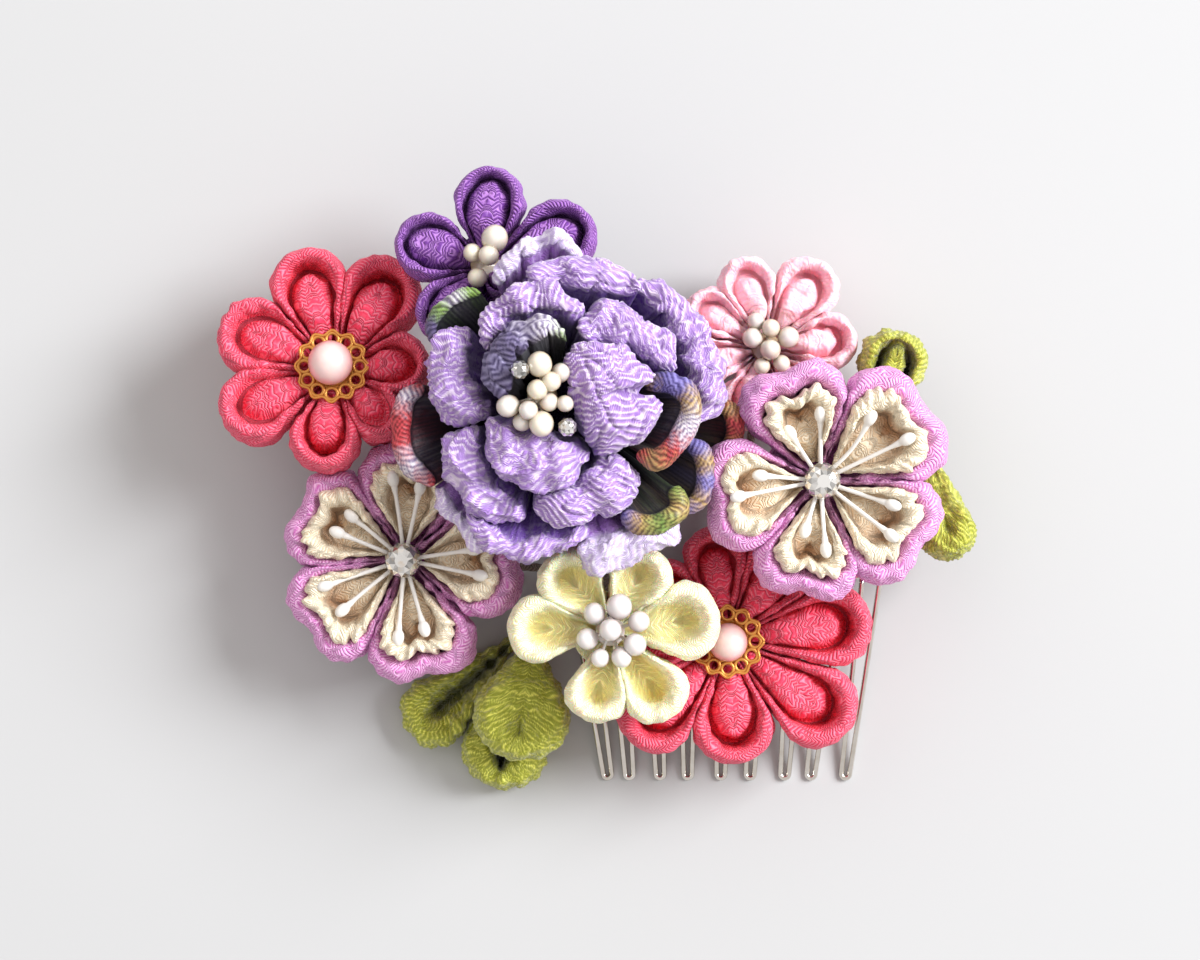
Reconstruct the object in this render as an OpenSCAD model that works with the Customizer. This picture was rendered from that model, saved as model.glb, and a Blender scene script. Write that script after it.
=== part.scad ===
// Flower hair comb: crepe flowers, printed loops and leaves gathered over a silver wire comb.
// X runs along the comb, Y from the tooth tips to the back, Z up from the surface that it lies on.

/* [Comb] */
// Thickness of the wire that the teeth are bent from
wire_d = 0.7; // [0.6:0.1:0.9]
// Thickness of the bar that carries the teeth
bar_d = 1.2; // [1.0:0.1:1.4]
// Height of the bar's middle above the surface
bar_z = 5; // [4.5:0.1:5.2]
// Distance between a tooth's two wires at the bar
leg_gap = 2.4; // [2:0.1:3]
// Distance between a tooth's two wires at the tip
tip_gap = 1.1; // [1:0.1:1.4]

/* [Coral flowers] */
// Height of the left coral flower's petals
coral_left_h = 8; // [6:0.5:8.5]
// Height of the lower coral flower's petals
coral_lower_h = 7; // [6:0.5:7]
// Radius of the pearl in the left coral flower
pearl_left_r = 2.85; // [2.4:0.05:3]
// Radius of the pearl in the lower coral flower
pearl_lower_r = 2.5; // [2:0.05:2.6]
// Radius of the pierced cap under each pearl
cap_r = 4.3; // [4:0.1:4.6]
// Number of scallops and holes in a cap
cap_holes = 12; // [10:1:14]

/* [Small flowers] */
// Height of the violet flower's petals
violet_h = 7; // [6:0.5:7.5]
// Height of the blush flower's petals
blush_h = 7.5; // [6:0.5:8]
// Height of the lemon flower's petals
lemon_h = 6.8; // [6:0.1:7]

/* [Cherry flowers] */
// Height of the outer petals
cherry_h = 8; // [7:0.5:8.5]
// How far the inner petal's edge stays inside the outer one's
cherry_inset = 1.9; // [1.7:0.1:2.2]
// Depth of the notch in a petal's tip
cherry_notch = 1.1; // [0.6:0.1:1.4]
// Radius of the cut stone in the middle
gem_r = 2.25; // [2:0.05:2.5]
// Thickness of a stamen's thread
thread_d = 0.5; // [0.4:0.1:0.6]
// Radius of a stamen's round end
bulb_r = 0.78; // [0.6:0.02:0.9]

/* [Peony] */
// Thickness of the folded cloth
cloth_t = 1.2; // [1:0.1:1.5]
// Height of the plate that the petals stand on
plate_z = 16.4; // [16:0.1:16.6]
// Radius of the silver cut beads between the pearls
bead_r = 1.15; // [1:0.05:1.3]

/* [Stems] */
// Thickness of the stem wires
stem_d = 1.1; // [1:0.1:1.3]
// Thickness of the round card under each flower
card_t = 1; // [0.8:0.1:1.2]

/* [Hidden] */
$fn = 48;
// Middle of the whole outline, moved to the origin
middle = [0.11, -0.46, 0];
// Space kept between pieces that touch on the real object
gap = 0.15;
// Where a petal's wedge starts, and the share of its edge that is the round tip
root_r = 2.2;
tip_share = 0.75;
// At a bend, each straight run of a stem goes on by this share of its thickness
bend_over = 0.35;
// Every other run of a stem is this much thinner
thin_run = 0.9;
// The short wire across a tooth's tip: its share of the wire's thickness, and its lift
cross_share = 0.8;
cross_lift = 0.06;
// The bar's length beyond the outer teeth
bar_over = 1.8;
// Radius of the card under a small, a coral and a cherry flower
small_card_r = 5;
coral_card_r = 6;
cherry_card_r = 7;
// The pierced cap: radius of its flat floor, rise of its rim, metal thickness
cap_floor_r = 1.8;
cap_rise = 1.2;
cap_t = 0.7;
// The cap's scallops and holes: radius, and how far inside the rim they stand
scallop_r = 0.95;
scallop_in = 0.35;
hole_r = 0.5;
hole_in = 0.7;
// Height of the caps and pearls over the foot of the left and the lower coral flower
cap_left_z = 4.7;
cap_lower_z = 3.8;
pearl_over_cap = 0.9;
// The post that carries pearl wires or stamens, and the wires
post_r = 2;
head_wire_d = 0.5;
head_foot_z = 3.6;
wire_reach = 0.35;
// Stamens: height where they leave the post, and their lean from upright
stamen_z = 5.2;
stamen_tilt = 68;
// Cherry petals: bluntness, and the inner petal's narrower wedge, ruffle and root height
cherry_blunt = 1.35;
inner_narrow = 2.5;
inner_ruffle = 0.12;
inner_low = 0.46;
// Cut stone: height, belt height, crown height, number of facets
gem_z = 5.9;
gem_belt = 0.7;
gem_crown = 1;
gem_facets = 10;
// Peony plate, and the post under its pearls: x and y from the centre, height of its head
plate_r = 11;
plate_t = 1.6;
peony_post = [-1.6, 0.6, 29];
// How a peony sheet bellies: shares of the way out and up from its root to its rim
belly_out = 0.4;
belly_up = 0.62;
// How square a printed loop's roll stands to its own line
loop_square = 1;

// Where each flower stands: x, y, z of its foot, then the direction and angle that it leans
coral_left_at = [-34.3, 13.6, 11, 90, 9];
coral_lower_at = [16.5, -20.9, 7, 0, 0];
violet_at = [-14.4, 26.8, 17, 110, 7];
blush_at = [21.4, 17, 6, 60, 5];
lemon_at = [1.3, -19.2, 16.5, 0, 0];
cherry_right_at = [27.7, 0, 17, 340, 3];
cherry_left_at = [-25, -10.2, 8, 200, 4];
peony_at = [-5.6, 10];

// Tooth tips along the comb, left to right
tip_x = [1, 3.9, 8, 11.7, 16.1, 20, 24.6, 28.1, 32.7];
tip_y = -39.7;
bar_y = -12.5;
first_top_x = -3;
last_top_x = 35.8;

// Petals: direction, length from the flower's centre, half angle of its wedge
coral_left_petals = [
    [106, 16, 23.5], [158, 15.6, 25], [207, 15.6, 23], [265, 13.4, 26],
    [313, 11.2, 21], [2, 12.5, 23], [58, 16.4, 22.5]];
coral_lower_petals = [
    [272, 15.6, 24], [329, 19.3, 18.1], [9, 18.5, 19.5], [55, 16, 21],
    [98, 15, 19.1], [138, 14, 18.5], [180, 15, 20], [227, 17.5, 18.6]];
violet_petals = [
    [86, 12.5, 34.3], [162, 11.8, 35], [231, 11.6, 30.5], [306, 4.8, 32], [20, 14.8, 29.3]];
blush_petals = [
    [5, 11.8, 23.6], [55, 13.3, 24], [107, 12, 23], [150, 11.8, 17.6],
    [196, 10.8, 22.5], [250, 11, 26], [307, 11, 27]];
lemon_petals = [
    [8, 14, 25.8], [62, 11.8, 25.8], [128, 12.2, 24.8], [178, 13, 22.8], [258, 11.7, 24], [306, 13.4, 21.6]];
cherry_right_petals = [
    [106, 16, 28], [40, 17.5, 28], [325, 16.3, 25], [261, 15.8, 30], [195, 15.6, 29]];
cherry_left_petals = [
    [90, 15.8, 30], [155, 16.6, 30], [218, 16.8, 30], [281, 16.6, 30], [350, 16.2, 30]];

// Cross-sections, from the outer foot over the rim to the petal's middle and back below:
// share of the way from the edge to the middle, share of the height, 1 on the underside
tongue_rows = [
    [0.12, 0, 0], [0, 0.72, 0], [0.2, 1, 0], [0.56, 0.38, 0], [1, 0.66, 0],
    [1, 0.45, 1], [0.46, 0.12, 1], [0.2, 0.7, 1], [0.36, 0, 1]];
cup_rows = [
    [0.14, 0, 0], [0, 0.66, 0], [0.26, 1, 0], [0.62, 0.5, 0], [1, 0.4, 0],
    [1, 0.2, 1], [0.5, 0.24, 1], [0.26, 0.66, 1], [0.4, 0, 1]];
outer_rows = [
    [0.1, 0, 0], [0, 0.75, 0], [0.12, 1, 0], [0.25, 0.5, 0], [1, 0.42, 0],
    [1, 0.24, 1], [0.2, 0.28, 1], [0.26, 0, 1]];
inner_rows = [
    [0.02, 0.64, 0], [0, 0.88, 0], [0.16, 1.02, 0], [0.36, 0.74, 0], [1, 0.64, 0], [1, 0.54, 0]];

// Peony petals: line of the rolled rim as x, y, z of its crest, then rim width and root radius
peony_petals = [
    [[[-12.8, 10.9, 33], [-13.6, 14.6, 34.5], [-11.8, 17.2, 35], [-8, 19, 34.5], [-4.6, 18.4, 33]], 3.4, 4.2],
    [[[-14.6, 16.9, 31], [-14.2, 20.2, 32], [-11.4, 22.4, 32.5], [-7.3, 23, 32.5], [-3.4, 21.8, 31]], 3.2, 5.8],
    [[[-16.7, 18.2, 28.9], [-18.6, 14.6, 29.2], [-18.3, 10.5, 29], [-15.6, 8.2, 28]], 4.4, 7.1],
    [[[-13.7, 5.9, 30], [-9.9, 3.4, 31.5], [-6.2, 2.6, 31.5], [-2.2, 3.6, 30]], 5.4, 4.4],
    [[[-17, 6.4, 27], [-17.6, 3.4, 28], [-16, -0.2, 28], [-13.4, -2.8, 28], [-10.4, -4.4, 27]], 3.8, 7],
    [[[2, 2, 28.5], [1.4, -0.6, 29.5], [-1.5, -2.8, 30], [-5, -3.6, 29.5], [-8.4, -3.2, 28.5]], 4.4, 6.3],
    [[[0.4, 15.2, 32.4], [1, 13, 33.5], [1.4, 9.9, 34], [1.2, 7, 33], [0.4, 4.8, 31]], 8.2, 3.4],
    [[[-1.6, 20.9, 29.5], [1.6, 21, 31], [5.6, 19, 31.5], [8.4, 15.8, 31], [9, 14, 29.5]], 4.2, 6.4],
    [[[-8.4, 24.8, 29.8], [-4.3, 26, 30.6], [0.6, 25.8, 30.6], [4.1, 23.6, 29.6]], 3.2, 7.8],
    [[[5.2, 23.8, 26], [9, 21.6, 27], [12, 17.6, 27.5], [13.4, 12, 27], [12.4, 9.4, 26]], 4.2, 8.8],
    [[[-13.4, 25.8, 28], [-11.2, 28, 29], [-7.4, 29.8, 29], [-3.9, 29.4, 28]], 3.2, 9.3],
    [[[-15.4, -6.2, 25.5], [-12.8, -8.2, 26.5], [-8.7, -9, 27], [-5, -8.4, 26]], 3, 9],
    [[[-2.5, -8.7, 25.5], [0.6, -9.4, 26.5], [4.3, -8.4, 26.5], [7.8, -7.2, 26], [9.8, -5.4, 25]], 3.2, 9.2],
    [[[-20.8, -1.4, 23], [-19.2, -4.4, 24], [-17.2, -6.4, 24.5]], 2.2, 9.4]];

// Printed loops, tabled like the peony petals
loops = [
    [[[-21, 17, 27], [-20.8, 19.8, 28], [-19, 22, 28.5], [-16.8, 23.2, 28.5], [-14.8, 23.4, 27.5]], 1.7, 8.5],
    [[[-22.4, 12, 24.5], [-24.4, 10, 25.5], [-25, 6.4, 26], [-24.2, 2.4, 25.5], [-20.8, -0.6, 24.5]], 2.6, 9.4],
    [[[6.6, 11, 29.5], [9.2, 11.4, 31], [11, 8.2, 31.5], [9.4, 4.6, 31], [5.8, 3.4, 29.5]], 2.8, 6.6],
    [[[11.8, 4.6, 26.5], [13, 2.4, 27], [12.9, -0.4, 27], [11.6, -2.8, 26.5]], 2.2, 8.95],
    [[[15.4, 9.6, 23.5], [17, 7.6, 23.5], [16.4, 4.6, 22.5], [13.1, 1.9, 21], [11.5, -0.6, 19.5]], 2.1, 10.6],
    [[[3.2, -3.6, 27.5], [5.4, -4.3, 28], [7.8, -3.1, 28], [9.4, -0.8, 27.5]], 2.4, 7.65]];

// Leaves: x, y, z of the root, direction, length, half angle, height
leaves = [
    [-10.4, -19.4, 0, 218, 19.5, 15, 5.4],
    [-8.8, -20.8, 6.2, 262, 15.6, 37, 7],
    [-11, -28.6, 0, 257, 12.4, 48, 5.8],
    [36, 7.4, 8, 76, 12.4, 32, 7.6],
    [39.6, 4.2, 8, 296, 17, 18, 7.6]];
leaf_names = ["leaf_back_left", "leaf_front", "leaf_bottom", "leaf_right_top", "leaf_right_bottom"];

// Pearl heads: x, y and z from the flower's foot, radius
violet_pearls = [[1.5, 2.6, 8, 1.6], [-1.3, 0.9, 7.4, 1.15], [0.8, 0.4, 8.4, 1.2], [-0.7, -2.2, 7.2, 1.2]];
blush_pearls = [
    [-1.5, 3, 6.8, 1.15], [0.3, 2, 7.8, 1.2], [2.7, 0.6, 7.4, 1.4], [-2, 1.1, 7.2, 1.3],
    [0.2, -0.8, 8, 1.35], [-0.8, -2.8, 6.8, 1.1], [1.8, -2.4, 6.6, 1.1]];
lemon_pearls = [
    [1.1, 3.3, 7.8, 1.65], [-2, 2.4, 7.2, 1.4], [0, 0.4, 8.6, 1.45], [3.6, 1.4, 7.2, 1.3],
    [3.1, -1.5, 7.6, 1.45], [-2.9, -0.8, 7.2, 1.4], [-1.3, -3.2, 7, 1.15], [1.4, -3.1, 7.2, 1.25]];
peony_pearls = [
    [-7.4, 14.2, 33.6, 1.5], [-6, 12.1, 33.2, 1.2], [-7.7, 11.1, 33.4, 1.25], [-11.3, 9.1, 32.4, 1.4],
    [-8.8, 8.6, 33.2, 1.15], [-7.2, 6.9, 32.8, 1.5], [-4.3, 9.4, 32.4, 1]];
peony_beads = [[-9.8, 13.5, 33.2], [-4, 6.5, 32.2]];

// Stamens: direction and distance of the round end from the flower's centre
cherry_right_stamens = [
    [125, 7.4], [93, 8.4], [54, 9.8], [27, 11.6], [341, 9.2], [321, 10.8],
    [250, 6.6], [272, 8.6], [178, 8], [197, 11]];
cherry_left_stamens = [
    [95, 10.6], [75, 9.8], [156, 9], [138, 8.6], [198, 10.2], [220, 9.8],
    [268, 9.8], [289, 9.2], [9, 9.6], [350, 10.4]];

// Stem routes from below each card to the bar
coral_left_stem = [[-34.3, 13.6, 10], [-34.3, 13.6, 0.66], [-4, -8, 3], [-1.6, -11.1, 4.6]];
violet_stem = [[-14.4, 26.8, 16], [-14.4, 26.8, 0.66], [-11.6, 5, 1.2], [2, -11.1, 4.6]];
peony_stem = [[-5.6, 10, 16], [-5.6, 10, 3.4], [5.6, -11.1, 4.6]];
blush_stem = [[21.4, 17, 5], [21.4, 17, 0.66], [18, -11.1, 4.6]];
cherry_right_stem = [[27.7, 0, 16], [27.7, 0, 3], [27, -11.1, 4.6]];
cherry_left_stem = [[-25, -10.2, 7], [-25, -10.2, 1.4], [-5.4, -11.8, 5]];
lemon_stem = [[1.3, -19.2, 15.9], [1.3, -18.6, 11.5], [0.8, -12.5, 6.4]];
coral_lower_stem = [[16.5, -20.9, 6.4], [15.4, -14.6, 6.5], [12.6, -12.5, 6.4]];
leaves_left_stem = [[-8.2, -18.2, 4.2], [-4, -12.6, 6.3]];
leaves_right_stem = [[33.4, 6, 9], [33, -2, 6], [32.4, -11.1, 4.6]];

peony_names = [for (i = [1:len(peony_petals)]) str("peony_petal_", i)];
loop_names = [for (i = [1:len(loops)]) str("printed_loop_", i)];

function mix(a, b, t) = a + (b - a) * t;
function clamp(t) = min(1, max(0, t));

// Point of a smooth line through all of p, t from 0 to 1
function along(p, t) =
    let (n = len(p) - 1, i = max(0, min(floor(t * n), n - 1)), f = t * n - i)
    let (a = i > 0 ? p[i - 1] : 2 * p[0] - p[1], b = p[i], c = p[i + 1])
    let (d = i + 2 <= n ? p[i + 2] : 2 * p[n] - p[n - 1])
    0.5 * (2 * b + (c - a) * f + (2 * a - 5 * b + 4 * c - d) * pow(f, 2) + (3 * b - a - 3 * c + d) * pow(f, 3));

// A petal's edge from above: straight sides that spread from the centre, then a round tip.
// s runs from -1 at one root over 0 at the tip to 1; gives x, y and the x of the middle line beside it
function edge(s, length, spread, blunt, notch) =
    let (a = atan(tan(spread) / blunt), r = length * sin(a) / (1 + sin(a)), c = length - r)
    let (q = abs(s), side = s < 0 ? -1 : 1, turn = (90 + a) * min(1, q / tip_share))
    let (x0 = c - r * sin(a), x = mix(x0, root_r, clamp((q - tip_share) / (1 - tip_share))))
    q <= tip_share
        ? [c + r * cos(turn) - notch * exp(-pow(turn / 24, 2)), side * blunt * r * sin(turn),
           c + r * cos(turn) * (turn < 90 ? 0.45 : 1)]
        : [x, side * x * tan(spread), x];

// Corners of one petal: a row of the cross-section at each step round the edge
function petal_points(length, spread, height, rows, steps, blunt, notch, ruffle, low) = [
    for (i = [-steps:steps])
        let (e = edge(i / steps, length, spread, blunt, notch))
        let (rise = mix(low, 1, clamp(e.x / (0.7 * length))), hollow = clamp(1.8 * (e.x - root_r) / length))
        let (wave = ruffle * (i % 2 == 0 ? 1 : -1) * clamp(e.x / length - 0.3))
        for (row = rows)
            let (v = row[0] + (row[0] < 0.5 ? wave : 0))
            let (under = row[2] == 1 ? mix(0.12, 1, hollow) : 1)
            [mix(e.x, e[2], v), mix(e.y, 0, v), height * rise * row[1] * under]];

// Faces of a petal: bands between neighbouring rows, and both root ends; mid is the row of the middle's top
function petal_faces(count, rows, mid) = concat(
    [for (i = [0:count - 2], j = [0:rows - 1]) if (j != mid)
        let (a = i * rows + j, b = i * rows + (j + 1) % rows) [a, b, b + rows]],
    [for (i = [0:count - 2], j = [0:rows - 1]) if (j != mid)
        let (a = i * rows + j, b = i * rows + (j + 1) % rows) [a, b + rows, a + rows]],
    [[for (j = [rows - 1:-1:0]) j], [for (j = [0:rows - 1]) (count - 1) * rows + j]]);

module petal(length, spread, height, rows, mid, steps = 4, blunt = 1, notch = 0, ruffle = 0, low = 0.32) {
    polyhedron(
        petal_points(length, spread, height, rows, steps, blunt, notch, ruffle, low),
        petal_faces(2 * steps + 1, len(rows), mid));
}

// Puts a flower's pieces where the flower stands
module placed(at) {
    translate([at[0], at[1], at[2]])
        rotate([0, 0, at[3]])
            rotate([0, at[4], 0])
                rotate([0, 0, -at[3]])
                    children();
}

module ring_of_petals(table, height, rows, mid, blunt = 1.12) {
    for (p = table)
        rotate([0, 0, p[0]])
            petal(p[1], p[2], height, rows, mid, blunt = blunt);
}

// Straight round wire from point a to point b
module rod(a, b, d) {
    run = b - a;
    translate(a)
        rotate([0, atan2(norm([run.x, run.y]), run.z), atan2(run.y, run.x)])
            cylinder(d = d, h = norm(run));
}

// Round wire through the points of a route: straight runs that cross at the bends
module wire(route, d) {
    for (i = [0:len(route) - 2]) {
        run = route[i + 1] - route[i];
        over = bend_over * d * run / norm(run);
        rod(i > 0 ? route[i] - over : route[i],
            i < len(route) - 2 ? route[i + 1] + over : route[i + 1],
            i % 2 == 0 ? d : thin_run * d);
    }
}

// Each tooth is two straight wires that meet in a short cross piece at the tip
module comb() {
    color("silver") {
        top_step = (last_top_x - first_top_x) / (len(tip_x) - 1);
        for (i = [0:len(tip_x) - 1]) {
            for (side = [-1, 1])
                rod([first_top_x + i * top_step + side * leg_gap / 2, bar_y, bar_z],
                    [tip_x[i] + side * tip_gap / 2, tip_y, wire_d / 2], wire_d);
            rod([tip_x[i] - tip_gap / 2, tip_y + wire_d / 2, wire_d / 2 + cross_lift],
                [tip_x[i] + tip_gap / 2, tip_y + wire_d / 2, wire_d / 2 + cross_lift], cross_share * wire_d);
        }
        rod([first_top_x - bar_over, bar_y, bar_z], [last_top_x + bar_over, bar_y, bar_z], bar_d);
    }
}

// Round card under a flower, with its stem wire
module base(at, radius, stem, tint) {
    color(tint) {
        placed(at)
            translate([0, 0, -gap - card_t])
                cylinder(r = radius, h = card_t);
        wire(stem, stem_d);
    }
}

// Dished cap with a scalloped rim and a ring of round holes
module cap(at, height) {
    color("goldenrod")
        placed(at)
            translate([0, 0, height])
                difference() {
                    union() {
                        rotate_extrude()
                            polygon([
                                [0, 0], [cap_floor_r, 0], [cap_r, cap_rise],
                                [cap_r, cap_rise + cap_t - 0.1], [cap_floor_r, cap_t], [0, cap_t]]);
                        for (i = [0:cap_holes - 1])
                            rotate([0, 0, i * 360 / cap_holes])
                                translate([cap_r - scallop_in, 0, cap_rise - 0.2])
                                    cylinder(r = scallop_r, h = cap_t + 0.2);
                    }
                    for (i = [0:cap_holes - 1])
                        rotate([0, 0, i * 360 / cap_holes])
                            translate([cap_r - hole_in, 0, -cap_t])
                                cylinder(r = hole_r, h = cap_rise + 3 * cap_t);
                }
}

module pearl(at, height, radius) {
    color("ivory")
        placed(at)
            translate([0, 0, height + radius])
                sphere(r = radius);
}

// One round head on a wire that leans on the post at foot
module head(at, radius, foot) {
    out = [at[0] - foot.x, at[1] - foot.y];
    translate([at[0], at[1], at[2]])
        rotate([0, 0, atan2(out.y, out.x)])
            sphere(r = radius);
    if (norm(out) > post_r + 0.1)
        rod([at[0], at[1], at[2]], foot + [out.x, out.y, 0] * (post_r + wire_reach) / norm(out), head_wire_d);
    else
        rod([at[0], at[1], at[2]], [at[0], at[1], foot.z + 2 * wire_reach], head_wire_d);
}

// Pearl heads on wires that lean on a post in the flower's centre
module pearl_heads(at, table) {
    color("ivory")
        placed(at) {
            for (p = table)
                head(p, p[3], [0, 0, head_foot_z]);
            cylinder(r = post_r - 0.1, h = head_foot_z + 0.6);
        }
}

module cherry_outer(at, table) {
    color("orchid")
        placed(at)
            for (p = table)
                rotate([0, 0, p[0]])
                    petal(p[1], p[2], cherry_h, outer_rows, 4, blunt = cherry_blunt, notch = cherry_notch);
}

module cherry_inner(at, table) {
    color("wheat")
        placed(at)
            for (p = table)
                rotate([0, 0, p[0]])
                    translate([cherry_inset, 0, 0])
                        petal(p[1] - 2 * cherry_inset, p[2] - inner_narrow, cherry_h, inner_rows, 4,
                            blunt = cherry_blunt, notch = cherry_notch, ruffle = inner_ruffle, low = inner_low);
}

// One post in the middle, and stamens that lean on it: a thread that swells to a round end
module stamens(at, table) {
    color("white")
        placed(at) {
            cylinder(r = post_r, h = stamen_z + 0.4);
            for (p = table)
                rotate([0, 0, p[0]])
                    translate([post_r + 0.1, 0, stamen_z])
                        rotate([0, stamen_tilt, 0])
                            rotate_extrude()
                                polygon(stamen_outline(p[1] - post_r));
        }
}

function stamen_outline(length) = concat(
    [[0, 0], [thread_d / 2, 0], [thread_d / 2, length - 3 * bulb_r]],
    [for (a = [150:-30:0]) [bulb_r * sin(a) + (a == 0 ? 0 : 0.01), length + bulb_r * cos(a)]]);

// Cut stone: a table, ten crown facets and a shallow back
module gem(at) {
    color("lightgray")
        placed(at)
            translate([0, 0, gem_z]) {
                translate([0, 0, gem_belt])
                    cylinder(r1 = gem_r, r2 = 0.6 * gem_r, h = gem_crown, $fn = gem_facets);
                cylinder(r1 = 0.7 * gem_r, r2 = gem_r, h = gem_belt, $fn = gem_facets);
            }
}

// Corners of a peony petal: a sheet that rises from its root to a rolled rim.
// Rows of the roll: share of its width inward from the crest, share of its width up
roll_rows = [
    [0.5, -0.1], [0.2, 0], [-0.3, -0.08], [-0.5, -0.42],
    [-0.34, -0.62], [-0.14, -0.36], [0.22, -0.34]];
belly_t = 0.9;
function roll_point(p, o, w, width, row) =
    [p.x - o.x * w * row[0], p.y - o.y * w * row[0], p.z + width * row[1]];
function belly(low, rim) =
    [mix(low.x, rim.x, belly_out), mix(low.y, rim.y, belly_out), mix(low.z, rim.z, belly_up)];
function outward(p) = let (out = [p.x - peony_at.x, p.y - peony_at.y]) out / norm(out);
// The side of a line in plan, at t; 1 is its left
function beside(line, t, side) =
    let (g = along(line, t + 0.02) - along(line, t - 0.02)) side * [-g.y, g.x] / norm([g.x, g.y]);
function outer_side(line) = beside(line, 0.5, 1) * outward(along(line, 0.5)) > 0 ? 1 : -1;
// square is 0 where the roll leans straight out from the centre, and 1 where it is square to its own line
function ribbon_points(line, width, root, steps, square) = [
    for (i = [0:steps])
        let (t = i / steps, p = along(line, t), lean = mix(outward(p), beside(line, t, outer_side(line)), square))
        let (o = lean / norm(lean), taper = mix(0.45, 1, sqrt(sin(180 * clamp(t * 0.9 + 0.05)))))
        let (even = mix(outward(p), mix(outward(line[0]), outward(line[len(line) - 1]), t), square))
        let (w = width * taper, foot = peony_at + root * even / norm(even))
        let (inner = [p.x - o.x * w / 2, p.y - o.y * w / 2, p.z - 0.1 * width - cloth_t])
        let (low = [foot.x, foot.y, plate_z + gap])
        each concat(
            [for (row = roll_rows) roll_point(p, o, w, width, row)],
            [belly(low, inner) + [o.x, o.y, -1] * belly_t,
             low + cloth_t * [even.x, even.y, 0] / norm(even), low, belly(low, inner)])];

// side is 1 where the line has the centre on its right, and -1 turns every face round
function ribbon_faces(count, rows, side) = [
    for (f = ribbon_rounds(count, rows)) side > 0 ? f : [for (k = [len(f) - 1:-1:0]) f[k]]];
function ribbon_rounds(count, rows) = concat(
    [for (i = [0:count - 2], j = [0:rows - 1])
        let (a = i * rows + j, b = i * rows + (j + 1) % rows) [a, b, b + rows]],
    [for (i = [0:count - 2], j = [0:rows - 1])
        let (a = i * rows + j, b = i * rows + (j + 1) % rows) [a, b + rows, a + rows]],
    [[for (j = [rows - 1:-1:0]) j], [for (j = [0:rows - 1]) (count - 1) * rows + j]]);

// One folded petal or loop from a row of its table
module ribbon(row, tint, square) {
    steps = len(row[0]) > 4 ? 7 : 6;
    color(tint)
        polyhedron(
            ribbon_points(row[0], row[1], row[2], steps, square),
            ribbon_faces(steps + 1, len(roll_rows) + 4, outer_side(row[0])));
}

module peony_base() {
    color("thistle") {
        translate([peony_at.x, peony_at.y, plate_z - plate_t])
            cylinder(r = plate_r, h = plate_t);
        wire(peony_stem, stem_d);
    }
}

module peony_pearls() {
    post = [peony_at.x, peony_at.y, 0] + peony_post;
    color("ivory") {
        for (p = peony_pearls)
            head(p, p[3], post);
        for (p = peony_beads)
            head(p, bead_r, post);
        translate([post.x, post.y, plate_z + 0.1])
            cylinder(r = post_r - 0.1, h = post.z + 0.6 - plate_z - 0.1);
    }
}

module leaf(i) {
    p = leaves[i];
    color("olivedrab")
        translate([p[0], p[1], p[2]])
            rotate([0, 0, p[3]])
                petal(p[4], p[5], p[6], tongue_rows, 4);
}

module stem(route) {
    color("olivedrab")
        wire(route, stem_d);
}

// Moves a piece so that the middle of the whole outline stands over the origin
module seat() {
    translate(-middle)
        children();
}

seat() comb();

seat()
    color("palevioletred") placed(coral_left_at)
        ring_of_petals(coral_left_petals, coral_left_h, tongue_rows, 4);
seat()  // coral_left_base
    base(coral_left_at, coral_card_r, coral_left_stem, "palevioletred");
seat() cap(coral_left_at, cap_left_z);  // coral_left_cap
seat()  // coral_left_pearl
    pearl(coral_left_at, cap_left_z + pearl_over_cap, pearl_left_r);

seat()
    color("palevioletred") placed(coral_lower_at)
        ring_of_petals(coral_lower_petals, coral_lower_h, tongue_rows, 4);
seat()  // coral_lower_base
    base(coral_lower_at, coral_card_r, coral_lower_stem, "palevioletred");
seat() cap(coral_lower_at, cap_lower_z);  // coral_lower_cap
seat()  // coral_lower_pearl
    pearl(coral_lower_at, cap_lower_z + pearl_over_cap, pearl_lower_r);

seat()
    color("mediumorchid") placed(violet_at)
        ring_of_petals(violet_petals, violet_h, tongue_rows, 4, 1);
seat()  // violet_base
    base(violet_at, small_card_r, violet_stem, "mediumorchid");
seat() pearl_heads(violet_at, violet_pearls);

seat()
    color("lightpink") placed(blush_at)
        ring_of_petals(blush_petals, blush_h, tongue_rows, 4);
seat() base(blush_at, small_card_r, blush_stem, "lightpink");  // blush_base
seat() pearl_heads(blush_at, blush_pearls);

seat()
    color("palegoldenrod") placed(lemon_at)
        ring_of_petals(lemon_petals, lemon_h, cup_rows, 4, 1.25);
seat() base(lemon_at, small_card_r, lemon_stem, "palegoldenrod");  // lemon_base
seat() pearl_heads(lemon_at, lemon_pearls);

seat()  // cherry_right_outer
    cherry_outer(cherry_right_at, cherry_right_petals);
seat()  // cherry_right_inner
    cherry_inner(cherry_right_at, cherry_right_petals);
seat()  // cherry_right_base
    base(cherry_right_at, cherry_card_r, cherry_right_stem, "orchid");
seat() stamens(cherry_right_at, cherry_right_stamens);
seat() gem(cherry_right_at);  // cherry_right_gem

seat() cherry_outer(cherry_left_at, cherry_left_petals);  // cherry_left_outer
seat() cherry_inner(cherry_left_at, cherry_left_petals);  // cherry_left_inner
seat()  // cherry_left_base
    base(cherry_left_at, cherry_card_r, cherry_left_stem, "orchid");
seat() stamens(cherry_left_at, cherry_left_stamens);
seat() gem(cherry_left_at);  // cherry_left_gem

for (i = [0:len(peony_petals) - 1])
    seat() ribbon(peony_petals[i], "mediumpurple", 0);
for (i = [0:len(loops) - 1])
    seat() ribbon(loops[i], "indianred", loop_square);
seat() peony_base();
seat() peony_pearls();

for (i = [0:len(leaves) - 1])
    seat() leaf(i);
seat() stem(leaves_left_stem);
seat() stem(leaves_right_stem);
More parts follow.
